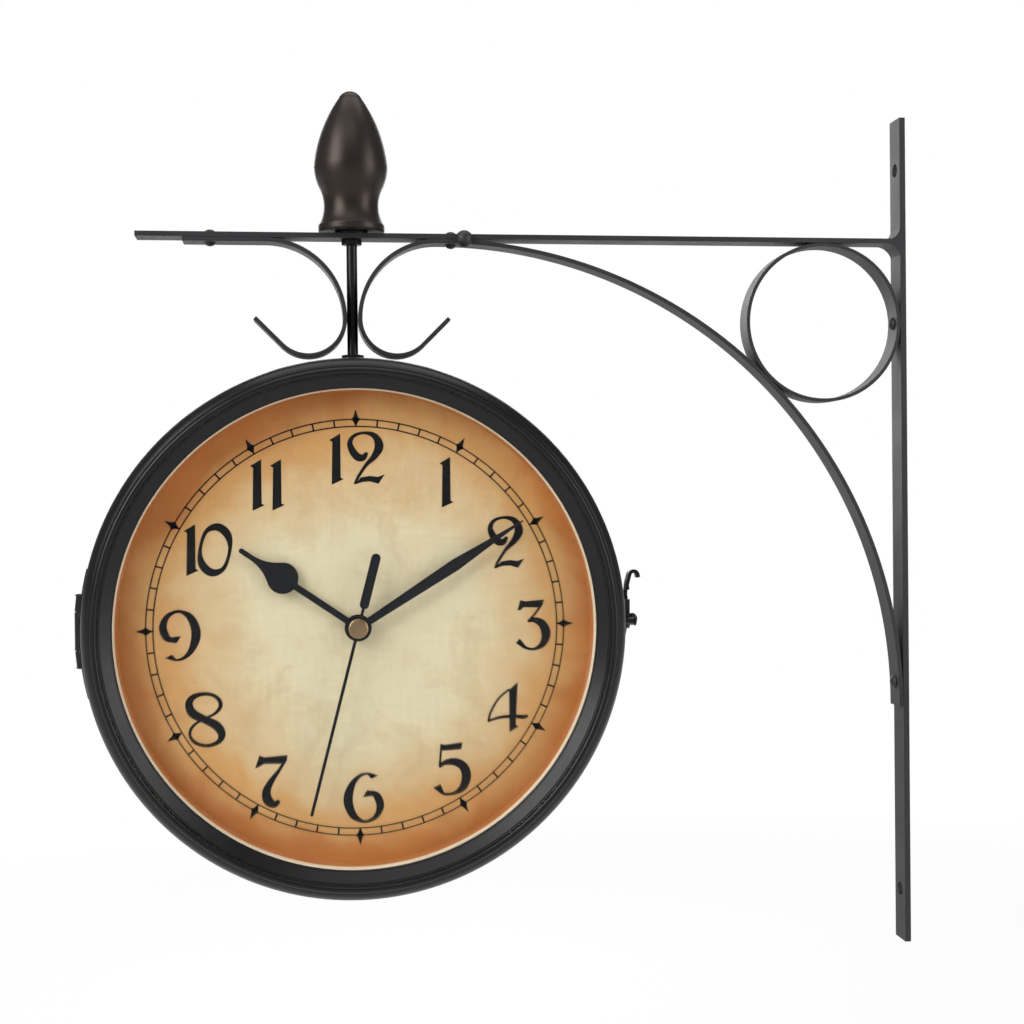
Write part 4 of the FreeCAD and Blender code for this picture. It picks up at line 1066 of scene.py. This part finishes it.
# ---- stage ----
def aim(place_at, heading, rise, roll):
    """Camera matrix from its place, heading to the right of +Y, rise and roll, in degrees."""
    yaw, pitch, tilt = (math.radians(value) for value in (heading, rise, roll))
    forward = Vector((math.sin(yaw) * math.cos(pitch), math.cos(yaw) * math.cos(pitch),
                      math.sin(pitch)))
    level = Vector((math.cos(yaw), -math.sin(yaw), 0.0))
    above = level.cross(forward)
    right = math.cos(tilt) * level + math.sin(tilt) * above
    up = -math.sin(tilt) * level + math.cos(tilt) * above
    turn = Matrix((right, up, -forward)).transposed().to_4x4()
    return Matrix.Translation(place_at) @ turn


def lamp(name, place_at, target, size, power):
    """A rectangular lamp at a place, turned to its target."""
    data = bpy.data.lights.new(name, "AREA")
    data.shape = "RECTANGLE"
    data.size, data.size_y = size
    data.energy = power
    made = linked(name, data)
    made.location = place_at
    made.rotation_euler = (Vector(target) - Vector(place_at)).to_track_quat("-Z", "Y").to_euler()


def seen_white(tree, plain):
    """White for camera and transmission rays, the plain shader for all others."""
    path = add_node(tree, "ShaderNodeLightPath")
    white = add_node(tree, "ShaderNodeBackground", {"Color": (1.0, 1.0, 1.0, 1.0)})
    either = add_node(tree, "ShaderNodeMath", {
        0: path.outputs["Is Camera Ray"], 1: path.outputs["Is Transmission Ray"]},
        operation="MAXIMUM")
    return add_node(tree, "ShaderNodeMixShader", {"Fac": either, 1: plain, 2: white})


class CLOCK_OT_stage(bpy.types.Operator):
    """Camera, floor, lamps and white surroundings"""
    bl_idname = "clock.stage"
    bl_label = "Stage"

    def execute(self, context):
        sizes = settings().stage
        scene = context.scene
        data = bpy.data.cameras.new("camera")
        data.lens = sizes.lens
        data.sensor_width = 36.0
        camera = linked("camera", data)
        camera.matrix_world = aim(Vector(sizes.camera_place), *sizes.camera_turn)
        scene.camera = camera
        scene.view_settings.view_transform = "Standard"
        world = bpy.data.worlds.new("surroundings")
        scene.world = world
        world.use_nodes = True
        tree = world.node_tree
        plain = tree.nodes["Background"]
        fill(tree, plain, {"Color": (0.86, 0.87, 0.89, 1.0), "Strength": 0.24})
        fill(tree, tree.nodes["World Output"], {"Surface": seen_white(tree, plain)})
        self.make_floor(sizes.floor_level)
        lamp("key", (-1.05, -0.62, 0.55), (-0.2, 0, 0.0), (0.6, 0.9), 12.0)
        lamp("fill", (0.85, -0.62, 0.30), (-0.15, 0, 0.0), (0.5, 0.9), 7.0)
        lamp("front", (-0.3, -1.2, 1.6), (-0.2, 0, 0.0), (1.2, 0.5), 5.0)
        lamp("top", (-0.15, 0.05, 0.9), (-0.15, 0, 0.0), (0.9, 0.5), 3.0)
        lamp("back", (-0.15, 0.95, 0.3), (-0.15, 0, 0.0), (0.9, 0.6), 5.0)
        return {"FINISHED"}

    def make_floor(self, level):
        """A pale floor that keeps the clock's shadow and fades to white further out."""
        size = 12.0
        corners = [(-size, -size, level), (size, -size, level), (size, size, level),
                   (-size, size, level)]
        finish = Finish("pale floor")
        tone = finish.noise(3.0, 2.0, 0.5)
        pale = finish.ramp(tone, [(0.3, (0.93, 0.93, 0.93)), (0.7, (0.95, 0.95, 0.95))])
        finish.surface(Base_Color=pale, Roughness=0.9, Specular_IOR_Level=0.1)
        path = finish.node("ShaderNodeLightPath").outputs
        mirrored = finish.calculate("MULTIPLY", path["Is Glossy Ray"], 0.7)
        seen = finish.calculate("MAXIMUM", path["Is Camera Ray"], mirrored)
        fade = finish.spread(finish.length(finish.place), 0.55, 1.3, 0.8, 1.0)
        mix = finish.node("ShaderNodeMixShader", {
            "Fac": finish.calculate("MULTIPLY", seen, fade), 1: finish.shader,
            2: finish.node("ShaderNodeEmission")})
        fill(finish.tree, finish.tree.nodes["Material Output"], {"Surface": mix})
        floor = new_piece("floor", mesh_from("floor", corners, [(0, 1, 2, 3)]), finish.material)


# ---- panel ----
OPERATORS = (CLOCK_OT_stage, CLOCK_OT_bracket_bars, CLOCK_OT_fixings, CLOCK_OT_finial,
             CLOCK_OT_case_shell, CLOCK_OT_hinge_and_latch, CLOCK_OT_dial_print, CLOCK_OT_hands,
             CLOCK_OT_movements)


class CLOCK_PT_sidebar(bpy.types.Panel):
    """Lists the clock's pieces in the sidebar"""
    bl_idname = "CLOCK_PT_sidebar"
    bl_label = "Station Clock"
    bl_space_type = "VIEW_3D"
    bl_region_type = "UI"
    bl_category = "Clock"

    def draw(self, context):
        for operator in OPERATORS:
            self.layout.operator(operator.bl_idname)
        clock = context.scene.station_clock
        for group in (clock.bracket, clock.dial, clock.finish, clock.stage):
            box = self.layout.box()
            for name in group.__annotations__:
                box.prop(group, name)


CLASSES = (BracketSettings, DialSettings, FinishSettings, StageSettings, ClockSettings,
           *OPERATORS, CLOCK_PT_sidebar)


def register():
    for item in CLASSES:
        bpy.utils.register_class(item)
    bpy.types.Scene.station_clock = PointerProperty(type=ClockSettings)


def unregister():
    del bpy.types.Scene.station_clock
    for item in reversed(CLASSES):
        bpy.utils.unregister_class(item)


def main():
    register()
    finishes.update(make_finishes())
    bpy.ops.clock.stage()
    bpy.ops.clock.bracket_bars()
    bpy.ops.clock.fixings()
    bpy.ops.clock.finial()
    bpy.ops.clock.case_shell()
    bpy.ops.clock.hinge_and_latch()
    bpy.ops.clock.dial_print()
    bpy.ops.clock.hands()
    bpy.ops.clock.movements()


if __name__ == "__main__":
    main()
